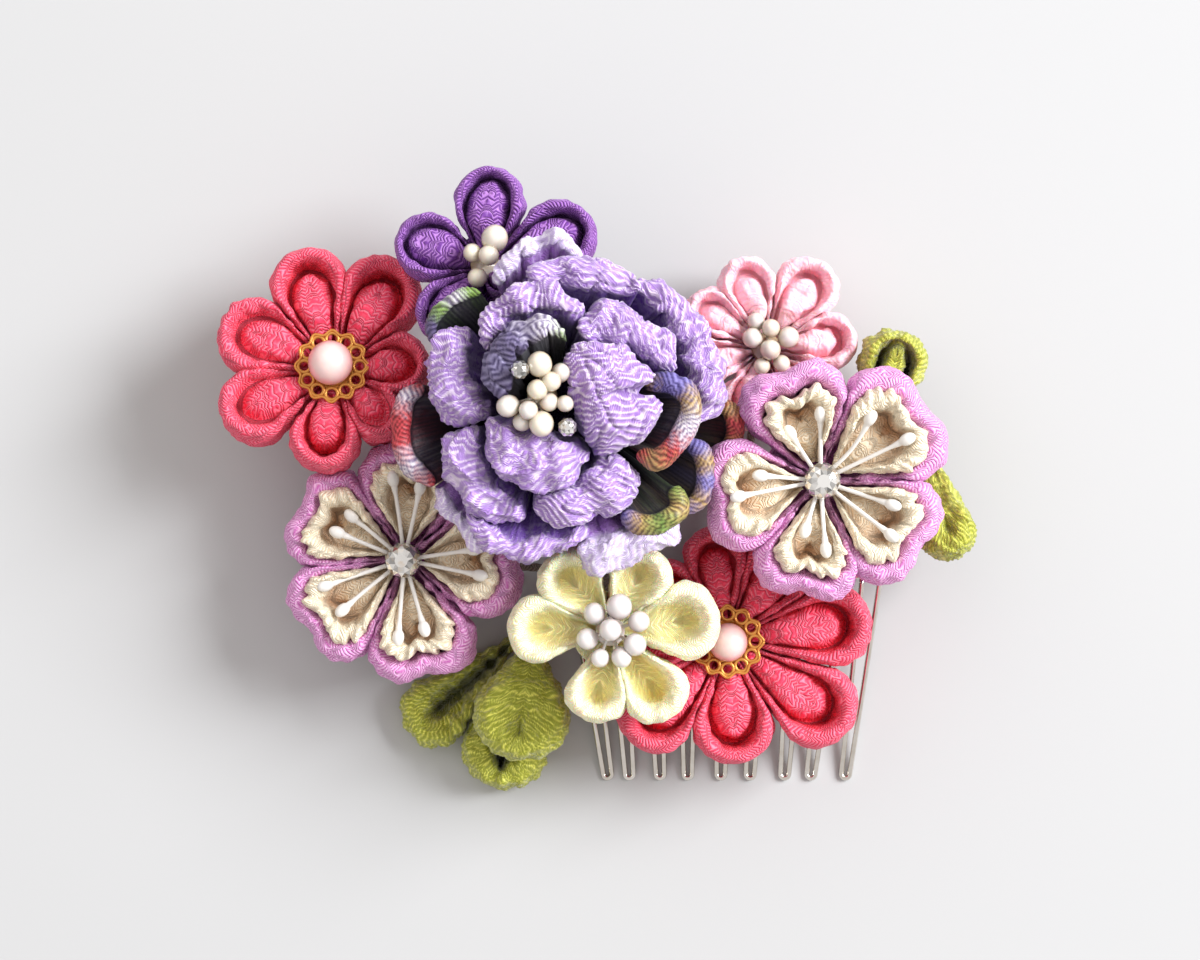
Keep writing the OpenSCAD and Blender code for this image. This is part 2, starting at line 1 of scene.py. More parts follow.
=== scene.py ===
# %% [markdown]
# # A hair comb of folded crepe flowers
# Seven folded flowers and a large gathered one, six printed loops and five leaves, all of silk-like crepe,
# stand on a silver wire comb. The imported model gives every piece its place. This script gives each one its
# true surface: cloth with a rolled rim, a hollow and fine ridges, pearls with a glow, wire that shines.

import bpy
import numpy as np
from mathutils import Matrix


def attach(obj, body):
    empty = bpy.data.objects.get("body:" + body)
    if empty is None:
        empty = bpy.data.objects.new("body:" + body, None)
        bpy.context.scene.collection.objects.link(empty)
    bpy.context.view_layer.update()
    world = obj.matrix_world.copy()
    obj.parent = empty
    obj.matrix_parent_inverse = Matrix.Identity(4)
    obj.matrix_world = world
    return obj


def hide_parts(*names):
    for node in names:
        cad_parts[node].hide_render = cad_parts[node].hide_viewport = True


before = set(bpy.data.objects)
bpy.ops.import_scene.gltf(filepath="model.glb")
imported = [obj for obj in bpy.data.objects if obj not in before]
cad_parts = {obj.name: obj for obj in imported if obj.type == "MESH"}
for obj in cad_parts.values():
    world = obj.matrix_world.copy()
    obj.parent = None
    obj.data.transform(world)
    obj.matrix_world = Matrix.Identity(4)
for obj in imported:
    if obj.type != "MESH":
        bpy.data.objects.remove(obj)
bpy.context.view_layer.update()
print(len(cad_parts), "solids in the packed model")

# %% [markdown]
# ## Places
# All sizes below are millimetres, measured from the middle of the picture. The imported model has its
# origin under the middle of its own outline, a fraction of a millimetre away, so one function moves and
# scales every point.

# %% Units
MM = 0.001
MIDDLE = np.array([0.11, -0.46, 0.0])


def metres(points):
    """Moves points from the picture's middle to the object's, then from millimetres to metres."""
    return (np.asarray(points, float) - MIDDLE) * MM


# %% [markdown]
# ## Lines and surfaces
# Every soft piece is a grid of points: one direction runs along the cloth, the other across it. A smooth
# line through a few chosen points is all that is needed in both directions.

# %% Smooth lines
def along(points, t):
    """Smooth line through all the points (Catmull-Rom), at t from 0 to 1. Points may be rows of points."""
    p = np.asarray(points, float)
    n = len(p) - 1
    p = np.concatenate([[2 * p[0] - p[1]], p, [2 * p[-1] - p[-2]]])
    u = np.clip(np.asarray(t, float) * n, 0, n)
    i = np.minimum(u.astype(int), n - 1)
    f = (u - i).reshape((-1,) + (1,) * (p.ndim - 1))
    a, b, c, d = p[i], p[i + 1], p[i + 2], p[i + 3]
    return 0.5 * (2 * b + (c - a) * f + (2 * a - 5 * b + 4 * c - d) * f**2 + (3 * b - a - 3 * c + d) * f**3)


def lengths(line):
    """Distance along a line of points, from its first point."""
    steps = np.linalg.norm(np.diff(line, axis=0), axis=-1)
    return np.concatenate([[0], np.cumsum(steps)])


def soft_step(x):
    """Goes smoothly from 0 to 1 as x does."""
    x = np.clip(x, 0, 1)
    return x * x * (3 - 2 * x)


def mix(a, b, t):
    """Goes in a straight line from a to b as t goes from 0 to 1."""
    return a + (b - a) * t


# %% [markdown]
# A surface here is a small dictionary: points, faces, a flat map of the cloth in millimetres, and named
# values such as how deep in a fold a point lies. Petals are made one by one and then joined into one mesh.

# %% Faces from a table of point numbers
CLOTH_UNIT = 100


def closed(ids):
    """The same table of point numbers with its first column again after its last."""
    return np.concatenate([ids, ids[:, :1]], 1)


def faces_of(ids):
    """Four-cornered faces between neighbouring rows and columns. Where two corners are one, three stay."""
    q = np.stack([ids[:-1, :-1], ids[1:, :-1], ids[1:, 1:], ids[:-1, 1:]], -1).reshape(-1, 4)
    low, high = q[:, 0] == q[:, 3], q[:, 1] == q[:, 2]
    return q[~(low | high)].tolist() + q[low & ~high][:, :3].tolist() + q[high & ~low][:, [0, 1, 3]].tolist()


def surface(points, ids, caps, flat, **layers):
    """Points and faces of one shell. Points that no face uses are dropped, as at a seam.

    Flat is the place of each point on the flat cloth. The mesh keeps it divided by the cloth unit.
    """
    used, at = np.unique(ids, return_inverse=True)
    number = np.full(len(points), -1)
    number[used] = np.arange(len(used))
    return {
        "points": points[used],
        "faces": faces_of(at.reshape(ids.shape)) + [number[list(c)].tolist() for c in caps],
        "uv": flat[used] / CLOTH_UNIT,
        "layers": {k: v[used] for k, v in layers.items()},
    }


def joined(parts):
    """Several surfaces as one, with the later ones' face numbers counted on."""
    start = np.concatenate([[0], np.cumsum([len(p["points"]) for p in parts])])
    return {
        "points": np.concatenate([p["points"] for p in parts]),
        "faces": [[i + s for i in f] for p, s in zip(parts, start.tolist()) for f in p["faces"]],
        "uv": np.concatenate([p["uv"] for p in parts]),
        "layers": {k: np.concatenate([p["layers"][k] for p in parts]) for k in parts[0]["layers"]},
    }


def moved(part, points):
    """The same surface with other points."""
    return {**part, "points": points}


# %% Normals, and the noise that keeps cloth from looking machined
def normals(part):
    """At each point the mean direction of its faces: the cross products of their diagonals, added."""
    p = part["points"]
    f = np.array([face if len(face) == 4 else face[:3] + face[:1] for face in part["faces"] if len(face) < 5])
    across = np.cross(p[f[:, 2]] - p[f[:, 0]], p[f[:, 3]] - p[f[:, 1]])
    three = f[:, 3] == f[:, 0]
    across[three] = np.cross(p[f[three, 1]] - p[f[three, 0]], p[f[three, 2]] - p[f[three, 0]])
    total = np.stack([np.bincount(f.ravel(), np.repeat(across[:, k], 4), len(p)) for k in range(3)], -1)
    return total / np.maximum(np.linalg.norm(total, axis=1, keepdims=True), 1e-9)


def lumps(points, size, seed, waves=8):
    """Smooth noise round 0: a sum of plane waves about size long, each with its own heading and phase."""
    pick = np.random.default_rng(seed)
    heading = pick.normal(size=(waves, points.shape[1]))
    heading /= np.linalg.norm(heading, axis=1, keepdims=True)
    wave = 2 * np.pi / (size * pick.uniform(0.7, 1.5, waves))
    return np.sin(points @ (heading * wave[:, None]).T + pick.uniform(0, 6.28, waves)).sum(1) / np.sqrt(waves)


def swollen(part, amount):
    """Moves each point outwards by its own amount."""
    return moved(part, part["points"] + normals(part) * np.asarray(amount)[:, None])


def uneven(part, height, size, small, seed):
    """Broad lumps of a height and size, and small ones on them, 0.4 times as high."""
    points = part["points"]
    return height * lumps(points, size, seed) + 0.4 * height * lumps(points, small, seed + 1)


# %% From a surface to a finished piece
def piece_of(name, part, material, nodes, smooth=True):
    """Puts a surface into a mesh, dresses it, fixes it to the object and lets it stand for its solids."""
    mesh = bpy.data.meshes.new(name)
    mesh.from_pydata(metres(part["points"]).tolist(), [], part["faces"])
    mesh.polygons.foreach_set("use_smooth", np.full(len(mesh.polygons), smooth))
    corner = np.zeros(len(mesh.loops), np.int32)
    mesh.loops.foreach_get("vertex_index", corner)
    mesh.uv_layers.new(name="cloth").data.foreach_set("uv", part["uv"][corner].ravel())
    for label, values in part["layers"].items():
        mesh.attributes.new(label, "FLOAT", "POINT").data.foreach_set("value", values.astype(np.float32))
    piece = bpy.data.objects.new(name, mesh)
    bpy.context.scene.collection.objects.link(piece)
    mesh.materials.append(material)
    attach(piece, "root")
    if nodes:
        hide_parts(*nodes)
    print(f"{name}: {len(mesh.vertices)} points, {len(mesh.polygons)} faces")
    return piece


# %% [markdown]
# ## The view
# The picture looks straight down. A comb's teeth are pitched about 4 mm, which makes a picture width of
# 160 mm on the table; from 42 cm that is a 94.5 mm lens.

# %% Camera
EYE, LENS, SENSOR = 420.0, 94.5, 36
camera = bpy.data.objects.new("camera", bpy.data.cameras.new("camera"))
bpy.context.scene.collection.objects.link(camera)
camera.location = metres([0, 0, EYE])
camera.data.lens = LENS
camera.data.sensor_width = SENSOR
bpy.context.scene.camera = camera

# %% [markdown]
# A large soft window stands at the right and a little behind, so that the rims on that side are almost
# white and soft shadows fall to the left. A weak lamp and the sky fill the rest, and the table is a plain
# pale sheet.

# %% Light and table
# Name, place in metres, width, power and colour of each lamp
LAMPS = [
    ("window", (1.26, 0.53, 1.02), 0.85, 50.5, (0.95, 0.972, 1.0)),
    ("fill", (-0.5, 0.5, 0.8), 0.9, 1.5, (1.0, 0.98, 0.96))]
# The sky's colour and strength, and half the table's width in metres
SKY, SKY_STRENGTH = (1.0, 0.965, 0.95, 1), 0.7
TABLE_HALF = 1.5


def soft_light(name, at, size, power, colour):
    """A square lamp at a place in metres, turned to the object."""
    lamp = bpy.data.lights.new(name, "AREA")
    lamp.size, lamp.energy, lamp.color = size, power, colour
    stand = bpy.data.objects.new(name, lamp)
    stand.location = at
    stand.rotation_euler = (-stand.location).to_track_quat("-Z", "Y").to_euler()
    bpy.context.scene.collection.objects.link(stand)


for lamp_row in LAMPS:
    soft_light(*lamp_row)
world = bpy.data.worlds.new("sky")
world.use_nodes = True
background = world.node_tree.nodes["Background"]
background.inputs["Color"].default_value = SKY
background.inputs["Strength"].default_value = SKY_STRENGTH
bpy.context.scene.world = world
bpy.context.scene.view_settings.view_transform = "Standard"

table_mesh = bpy.data.meshes.new("table")
table_corners = [(x * TABLE_HALF, y * TABLE_HALF, 0) for x, y in ((-1, -1), (1, -1), (1, 1), (-1, 1))]
table_mesh.from_pydata(table_corners, [], [(0, 1, 2, 3)])
floor = bpy.data.objects.new("table", table_mesh)
bpy.context.scene.collection.objects.link(floor)

# %% [markdown]
# ## Finishes
# A finish is a small net of shader nodes. One helper adds a node and connects it, so that each finish
# below reads as a list of steps.

# %% Helpers for finishes
def srgb(red, green, blue):
    """A colour as a screen shows it, 0 to 255, as the linear light that the shader wants."""
    c = np.array([red, green, blue]) / 255
    return tuple(np.where(c <= 0.04045, c / 12.92, ((c + 0.055) / 1.055) ** 2.4)) + (1.0,)


def new_finish(name, **values):
    """A material whose main shader has these constant values."""
    finish = bpy.data.materials.new(name)
    finish.use_nodes = True
    main = finish.node_tree.nodes["Principled BSDF"]
    for socket, value in values.items():
        main.inputs[socket.replace("_", " ")].default_value = value
    return finish, finish.node_tree, main


def add(tree, kind, inputs=None, **settings):
    """Adds a node. A socket among the inputs is linked, and anything else is a value."""
    made = tree.nodes.new(kind)
    for key, value in settings.items():
        setattr(made, key, value)
    for key, value in (inputs or {}).items():
        if isinstance(value, bpy.types.NodeSocket):
            tree.links.new(value, made.inputs[key])
        else:
            made.inputs[key].default_value = value
    return made


def maths(tree, operation, a, b=0.0):
    """One step of arithmetic; a and b are sockets or numbers."""
    return add(tree, "ShaderNodeMath", {0: a, 1: b}, operation=operation).outputs[0]


def plus(tree, a, b):
    """The sum of two values."""
    return maths(tree, "ADD", a, b)


def times(tree, a, b):
    """The product of two values."""
    return maths(tree, "MULTIPLY", a, b)


def swing(tree, value, size):
    """A value that lies round a half, moved so that it lies round 0, then made this many times larger."""
    return times(tree, maths(tree, "SUBTRACT", value, 0.5), size)


def ranged(tree, value, low, high, most=1.0):
    """Goes from 0 to most as the value goes from low to high."""
    return add(tree, "ShaderNodeMapRange", {0: value, 1: low, 2: high, 4: most}).outputs[0]


def blend(tree, share, a, b, way="MIX"):
    """Mixes two colours, each a colour or a socket."""
    return add(tree, "ShaderNodeMix", {0: share, 6: a, 7: b}, data_type="RGBA", blend_type=way).outputs[2]


def layer(tree, name):
    """A value stored on the mesh."""
    return add(tree, "ShaderNodeAttribute", attribute_name=name).outputs["Fac"]


def noise(tree, where, scale, detail=2.0, rough=0.5):
    """Cloudy noise from about 0 to 1. The clouds are smaller as the scale is larger."""
    inputs = {"Vector": where, "Scale": scale, "Detail": detail, "Roughness": rough}
    return add(tree, "ShaderNodeTexNoise", inputs).outputs[0]


def flat_map(tree):
    """The cloth's own flat map, in millimetres: x along the cloth, y across it."""
    uv = add(tree, "ShaderNodeUVMap", uv_map="cloth").outputs[0]
    return add(tree, "ShaderNodeMapping", {"Vector": uv, "Scale": (CLOTH_UNIT,) * 3}).outputs[0]


def painted(tree, main, colour):
    """Gives the main shader its colour."""
    tree.links.new(colour, main.inputs["Base Color"])


def bump(tree, main, height, distance):
    """Gives the main shader a small relief, distance metres deep where the height goes from 0 to 1."""
    made = add(tree, "ShaderNodeBump", {"Height": height, "Distance": distance, "Strength": 1.0})
    tree.links.new(made.outputs[0], main.inputs["Normal"])


# %% [markdown]
# Crepe is woven from twisted yarn, which pulls the cloth into short wavy ridges when it is wetted. The
# ridges run across a folded petal's rim. Here they are stripes along the flat map, bent into a zigzag,
# shifted by slow noise and broken up by finer noise. They set a small relief and the colour, which is
# paler on the ridges as painted sheen and darker in the valleys as painted shade.

# %% Crepe
def crepe(name, ridge, valley, fold_shade_and_bounce, pitch=0.55, zigzag=0.85, relief=0.0002, sheen=0.35, rough=0.6,
          broken=0.45, glow=0.0):
    """Small zigzag ridges of one colour over valleys of another, and a third colour deep in the folds.

    The ridge colour is paler as painted sheen and the valley colour darker as painted shade. The third colour
    is painted shade in the folds, deeper in colour for the light that bounces between them. A ridge lies
    where (x + bend + wander) / pitch is whole. Bend is a triangle wave of y, and wander is slow noise. Broken
    is the share of fine noise over the ridges, and glow the share of light that passes through the cloth.
    """
    finish, tree, main = new_finish(
        name, Roughness=rough, Sheen_Weight=sheen, Sheen_Roughness=0.4, Sheen_Tint=ridge,
        Subsurface_Weight=glow, Subsurface_Scale=0.0015, Specular_IOR_Level=0.3)
    flat = flat_map(tree)
    x, y, _ = add(tree, "ShaderNodeSeparateXYZ", {0: flat}).outputs
    wander = swing(tree, noise(tree, flat, 0.5, 1.0), 3.0)
    bend = times(tree, maths(tree, "PINGPONG", plus(tree, y, wander), 0.75), zigzag)
    phase = maths(tree, "DIVIDE", plus(tree, plus(tree, x, bend), wander), pitch)
    wave = maths(tree, "SINE", times(tree, phase, 2 * np.pi))
    line = plus(tree, times(tree, wave, 0.5), 0.5)
    grain = noise(tree, flat, 2.6, 2.0, 0.6)
    line = plus(tree, times(tree, line, 1 - broken / 2), times(tree, grain, broken))
    colour = blend(tree, ranged(tree, line, 0.3, 0.95), valley, ridge)
    patchy = noise(tree, flat, 0.22, 1.0)
    colour = blend(tree, times(tree, patchy, 0.25), colour, valley)
    painted(tree, main, blend(tree, layer(tree, "deep"), colour, fold_shade_and_bounce))
    bump(tree, main, line, relief)
    return finish


# Ridges paler as painted sheen, valleys darker as painted shade, folds in painted shade and bounced light
CORAL = crepe("coral crepe", srgb(255, 130, 152), srgb(242, 62, 94), srgb(244, 40, 62))
VIOLET = crepe("violet crepe", srgb(184, 130, 206), srgb(112, 58, 146), srgb(66, 26, 94), pitch=0.5,
               sheen=0.5, rough=0.5)
BLUSH = crepe("blush crepe", srgb(255, 208, 218), srgb(255, 190, 203), srgb(255, 150, 164), pitch=0.8,
              zigzag=0.5, relief=0.00012, sheen=0.8, rough=0.85, broken=0.95, glow=0.4)
LEMON = crepe("lemon crepe", srgb(255, 253, 228), srgb(248, 238, 176), srgb(255, 228, 122), pitch=0.4,
              zigzag=0.4, relief=0.00016, sheen=0.3, rough=0.5, broken=0.8, glow=0.4)
ORCHID = crepe("orchid crepe", srgb(250, 198, 238), srgb(196, 90, 174), srgb(160, 52, 134), pitch=0.5,
               relief=0.0002, broken=0.85)
CREAM = crepe("cream crepe", srgb(255, 247, 226), srgb(242, 218, 182), srgb(206, 152, 108), pitch=0.45,
              relief=0.00018, broken=0.7)

# %% [markdown]
# The peony, the leaves and the printed loops are a bolder crepe, with ridges 0.6 to 0.85 mm apart. Those
# ridges are real relief in the mesh, and a stored value says how high on a ridge each point lies. The
# finish paints the tops pale as painted sheen and the valleys darker as painted shade, adds the twist of the
# yarn between them as short strokes of relief and of painted sheen, and paints shade deep in the folds.

# %% Bold crepe
YARN, YARN_RELIEF = 0.3, 0.00009


def bold_crepe(name, ridge, valley, fold_shade_and_bounce, rough=0.36):
    """Colour by the height on the ridge, with the twist of the yarn as short strokes across it.

    The pale tops are painted sheen, the dark valleys painted shade, and the fold colour is painted shade.
    """
    finish, tree, main = new_finish(
        name, Roughness=rough, Sheen_Weight=0.4, Sheen_Roughness=0.35, Specular_IOR_Level=0.5)
    flat = flat_map(tree)
    x, y, _ = add(tree, "ShaderNodeSeparateXYZ", {0: flat}).outputs
    wander = swing(tree, noise(tree, flat, 0.9, 1.0), 1.6)
    across = plus(tree, plus(tree, y, times(tree, x, 0.6)), wander)
    twist = maths(tree, "SINE", times(tree, across, 2 * np.pi / YARN))
    strands = plus(tree, times(tree, twist, 0.3), noise(tree, flat, 1.6, 2.0, 0.6))
    height = maths(tree, "POWER", layer(tree, "ridge"), 2.3)
    tone = plus(tree, height, swing(tree, strands, 0.9))
    colour = blend(tree, ranged(tree, tone, 0.05, 0.95), valley, ridge)
    painted(tree, main, blend(tree, layer(tree, "deep"), colour, fold_shade_and_bounce))
    bump(tree, main, strands, YARN_RELIEF)
    return finish


# Ridges pale as painted sheen, valleys darker as painted shade, and folds dark as painted shade
LAVENDER = bold_crepe("lavender crepe", srgb(233, 216, 238), srgb(160, 120, 196), srgb(98, 60, 152))
PALE_LAVENDER = bold_crepe(
    "pale lavender crepe", srgb(244, 238, 250), srgb(204, 184, 226), srgb(150, 96, 184))
GREEN = bold_crepe("green crepe", srgb(236, 233, 104), srgb(146, 152, 30), srgb(46, 50, 14), rough=0.5)

# %% [markdown]
# The loops are cut from a crepe dyed in bands. The bands here are a plain row of colours along each loop,
# with ragged borders. The valleys between its ridges are painted darker as shade and the ridges a little
# lighter as painted sheen.

# %% Printed crepe
VALLEY_SHADE_TINT, IN_SHADE = (0.24, 0.2, 0.32, 1), srgb(14, 11, 24)


def printed_crepe(name, colours):
    """Bands of the colours along the stored value band, with noisy borders, over ridges."""
    finish, tree, main = new_finish(name, Roughness=0.5, Sheen_Weight=0.1)
    flat = flat_map(tree)
    ragged = swing(tree, noise(tree, flat, 0.9, 3.0, 0.7), 0.35)
    ramp = add(tree, "ShaderNodeValToRGB", {0: plus(tree, layer(tree, "band"), ragged)})
    stops = ramp.color_ramp.elements
    while len(stops) < len(colours):
        stops.new(0.5)
    for i, colour in enumerate(colours):
        stops[i].position = i / (len(colours) - 1)
        stops[i].color = colour
    strands = noise(tree, flat, 3.0, 2.0)
    tone = plus(tree, layer(tree, "ridge"), swing(tree, strands, 0.8))
    # Valleys painted darker as shade and ridges a little lighter as painted sheen
    dark = blend(tree, 1.0, ramp.outputs[0], VALLEY_SHADE_TINT, "MULTIPLY")
    light = blend(tree, 0.06, ramp.outputs[0], (1, 1, 1, 1))
    colour = blend(tree, ranged(tree, tone, 0.1, 1.0), dark, light)
    painted(tree, main, blend(tree, layer(tree, "deep"), colour, IN_SHADE))
    bump(tree, main, strands, 0.00005)
    return finish


RED, WHITE = srgb(212, 22, 42), srgb(240, 234, 240)
GOLD, LEAF, LILAC = srgb(190, 152, 76), srgb(124, 164, 46), srgb(132, 120, 196)
GREY, DUSK = srgb(108, 92, 140), srgb(126, 116, 158)

# %% [markdown]
# Pearls are beads with a pearly lacquer: a soft pale body under a clear coat, painted darker as shade where
# it turns away to the side. The stamens are thread stiffened in white paste. The cap is gilt and thin, the
# wire is plated.

# %% Hard finishes
SILVERY = srgb(232, 227, 226)


def pearl_finish(name, body, shade):
    """The body's colour, more silvery by the stored tint, and painted shade by the stored edge."""
    finish, tree, main = new_finish(
        name, Roughness=0.3, Coat_Weight=0.8, Coat_Roughness=0.06, Subsurface_Weight=0.15,
        Subsurface_Scale=0.0006, Specular_IOR_Level=0.6)
    place = add(tree, "ShaderNodeTexCoord").outputs["Object"]
    cloud = noise(tree, place, 420.0, 2.0)
    own = blend(tree, layer(tree, "tint"), body, SILVERY)
    shaded = plus(tree, times(tree, cloud, 0.35), layer(tree, "edge"))
    painted(tree, main, blend(tree, shaded, own, shade))
    bump(tree, main, cloud, 0.00003)
    return finish


IVORY_PEARL = pearl_finish("ivory pearl", srgb(252, 244, 222), srgb(176, 156, 124))
WHITE_PEARL = pearl_finish("white pearl", srgb(250, 246, 242), srgb(176, 162, 158))
PINK_PEARL = pearl_finish("pink pearl", srgb(246, 224, 218), srgb(206, 132, 130))


def worn_metal(name, colour, dark, rough, grain, metal=1.0):
    """Metal whose colour and polish vary a little from place to place."""
    finish, tree, main = new_finish(name, Metallic=metal, Roughness=rough)
    place = add(tree, "ShaderNodeTexCoord").outputs["Object"]
    cloud = noise(tree, place, grain, 3.0)
    painted(tree, main, blend(tree, cloud, colour, dark))
    bump(tree, main, cloud, 0.00002)
    return finish


WIRE = worn_metal("silver wire", srgb(245, 242, 236), srgb(205, 196, 184), 0.16, 500.0)
GILT = worn_metal("gilt filigree", srgb(228, 168, 84), srgb(196, 126, 56), 0.34, 700.0, metal=0.55)
STAMEN = worn_metal("stamen paste", srgb(240, 237, 232), srgb(218, 212, 205), 0.4, 600.0, metal=0.0)
STEM = crepe("stem thread", srgb(150, 136, 122), srgb(112, 98, 86), srgb(60, 50, 44))
TABLE = worn_metal("table", srgb(190, 190, 190), srgb(186, 186, 186), 0.8, 6.0, metal=0.0)
SHADE = crepe("cloth in the shade", srgb(62, 44, 92), srgb(40, 28, 62), srgb(20, 16, 30))
table_mesh.materials.append(TABLE)


# %% [markdown]
# ## A folded petal
# A round petal is a square of crepe folded to a point and gathered: the fold becomes a padded rim, the
# layers inside it a tongue, and between the two lies a deep groove. Seen from above it is a wedge that
# spreads from the flower's centre and ends in a round tip.
#
# The surface has two directions. One runs round the edge, from the root over the tip back to the root.
# The other follows the section: from the middle line over the tongue, down the groove, over the rim,
# down the outer wall and back below. Both sides share the middle line, so the shell is closed there.

# %% Outline of a petal from above
# The tip's share of the way round, the straight sides' share of the steps, and the reach of the notch and
# of the tip's own section in degrees
TIP_SHARE, SIDE_STEPS, NOTCH_REACH, TIP_REACH = 0.75, 0.4, 24, 60


def outline(length, spread, blunt, notch, steps, root):
    """Edge points x, y, and how near the tip each is. The tip is an arc that the two sides touch."""
    far = int(steps * SIDE_STEPS)
    near = steps - far
    q = np.concatenate([np.linspace(1, TIP_SHARE, far, endpoint=False), np.linspace(TIP_SHARE, 0, near + 1)])
    q, side = np.concatenate([q, q[-2::-1]]), np.repeat([-1, 1], [steps + 1, steps])
    a = np.arctan(np.tan(np.radians(spread)) / blunt)
    r = length * np.sin(a) / (1 + np.sin(a))
    c, x0 = length - r, length - r - r * np.sin(a)
    turn = (np.pi / 2 + a) * np.minimum(1, q / TIP_SHARE)
    dent = notch * np.exp(-((np.degrees(turn) / NOTCH_REACH) ** 2))
    side_x = mix(x0, root, (q - TIP_SHARE) / (1 - TIP_SHARE))
    x = np.where(q <= TIP_SHARE, c + r * np.cos(turn) - dent, side_x)
    y = np.where(q <= TIP_SHARE, blunt * r * np.sin(turn), side_x * np.tan(np.radians(spread)))
    nearness = np.where(q <= TIP_SHARE, np.exp(-((np.degrees(turn) / TIP_REACH) ** 2)), 0)
    return x, side * y, nearness


# %% The petal's surface
# A petal begins this far from the flower's centre. Its width for measuring the section, the length over
# which it rises, and the ruffled rim's reach are shares. The last is the number of samples of a section.
ROOT, HALF_WIDTH, RISE, RIM, SAMPLES = 0.9, 0.33, 0.62, 0.34, 400


def six(rows):
    """Section rows as six numbers. A row of three is the same at the sides and at the tip."""
    return np.array([r if len(r) == 6 else r + r for r in rows], float)


def petal(length, spread, height, rows, blunt=1.12, notch=0.0, end=0.68, low=0.32, lean=0.0, opened=1.0,
          steps=46, across=44, ruffle=0.0, seed=0, lump=0.12, climb=0.0, parted=True):
    """One petal along +x from the centre.

    Each row of the section has: share of the way from the edge to the middle line, share of the height,
    and how deep in the fold it lies, first at the sides, then at the tip. A point is the mix of an edge
    point and the middle-line point beside it, raised by height times its share. A fold that is opened by
    less than 1 is shallower. The height grows from the centre over a share of the length, or over climb.
    The flat map runs round the edge. In a parted petal it lies on the tongue, up to the deepest row, as
    seen from above.
    """
    x, y, tip = outline(length, spread, blunt, notch, steps, ROOT)
    arc = lengths(np.stack([x, y], -1))
    arc -= arc[len(arc) // 2]
    rows = six(rows)
    inside = np.arange(len(rows)) < rows[:, 1].argmax()
    for share, depth in ((1, 2), (4, 5)):
        rows[inside, share] += (0.85 - rows[inside, share]) * (1 - opened) * rows[inside, depth]
        rows[inside, depth] *= opened
    dense = along(rows, np.linspace(0, 1, SAMPLES))
    run = lengths(dense[:, :2] * [HALF_WIDTH * length, height])
    t = np.interp(np.linspace(0, run[-1], across), run, np.linspace(0, 1, SAMPLES))
    section = along(rows, t)
    q, h, deep = (mix(section[:, k], section[:, k + 3], tip[:, None]) for k in range(3))
    if ruffle:
        wave = lumps(arc[:, None], 2.4, seed + 5, 6) + 0.6 * lumps(arc[:, None], 1.2, seed + 6, 3)
        wave = wave * soft_step((x / length - 0.15) * 2)
        rim = np.exp(-((q / RIM) ** 2))
        q = q + ruffle * wave[:, None] * rim
        h = h + 0.8 * ruffle * lumps(arc[:, None], 1.6, seed + 9, 6)[:, None] * rim
    middle_x = ROOT + (x - ROOT) * (end * length - ROOT) / (length - ROOT)
    middle_y = lean * np.sin(np.pi * np.clip(middle_x / (end * length), 0, 1)) ** 2
    rise = low + (1 - low) * soft_step(x / max(RISE * length, climb))
    points = np.stack([
        mix(x[:, None], middle_x[:, None], q),
        mix(y[:, None], middle_y[:, None], q),
        height * rise[:, None] * h], -1).reshape(-1, 3)
    count = len(x)
    ids = np.arange(count * across).reshape(count, across)
    for column in (0, -1):
        ids[steps + 1:, column] = ids[:steps, column][::-1]
    cap = np.concatenate([ids[-1], ids[0][-2:0:-1]])
    u = np.abs(arc)[:, None] + np.zeros(ids.shape)
    v = np.linspace(0, run[-1], across) + np.zeros(ids.shape)
    tongue = t < parted * rows[inside, 2].argmax() / (len(rows) - 1)
    flat = points[:, :2].reshape(count, across, 2)
    u[:, tongue], v[:, tongue] = flat[:, tongue, 0], np.abs(flat[:, tongue, 1])
    on_cloth = np.stack([u.ravel(), v.ravel()], -1)
    # Deep is stored for the finishes, which paint shade and bounced light in the folds by it
    part = surface(points, ids, [cap[::-1]], on_cloth, deep=np.clip(deep, 0, 1).ravel())
    return swollen(part, uneven(part, lump, 2.2, 1.5, seed))


def turned(points, degrees):
    """Turns points round the z axis."""
    a = np.radians(degrees)
    spin = np.array([[np.cos(a), -np.sin(a), 0], [np.sin(a), np.cos(a), 0], [0, 0, 1]])
    return points @ spin.T


def stood(points, at):
    """Puts a flower's points where it stands: leans them by an angle towards a direction, then moves them."""
    x, y, z, direction, angle = at
    a = np.radians(angle)
    tilt = np.array([[np.cos(a), 0, np.sin(a)], [0, 1, 0], [-np.sin(a), 0, np.cos(a)]])
    return turned(turned(points, -direction) @ tilt.T, direction) + [x, y, z]


def standing(parts, at):
    """Joins the parts of a flower and puts them where the flower stands."""
    whole = joined(parts)
    return moved(whole, stood(whole["points"], at))


def flower(at, table, **form):
    """A ring of petals. A row of the table: direction, length, half angle, lean of the tongue, opening."""
    parts = []
    for i, (direction, length, spread, lean, opened) in enumerate(table):
        one = petal(length, spread, lean=lean, opened=opened, seed=31 * i + int(length * 10), **form)
        parts.append(moved(one, turned(one["points"], direction)))
    return standing(parts, at)


def cloth_flower(name, at, table, finish, fill, **form):
    """Makes the petals of a flower; they stand for its solids named after it with _petals."""
    piece_of(name + "_cloth", flower(at, table, **form), finish, [name + "_petals"])


# %% [markdown]
# ## The two coral flowers
# Seven and eight petals, each with a padded rim, a tongue that is nearly as wide as the petal, and deep
# grooves that open into a hollow before the tip. The grooves are painted a deeper red for the light that
# bounces in them.

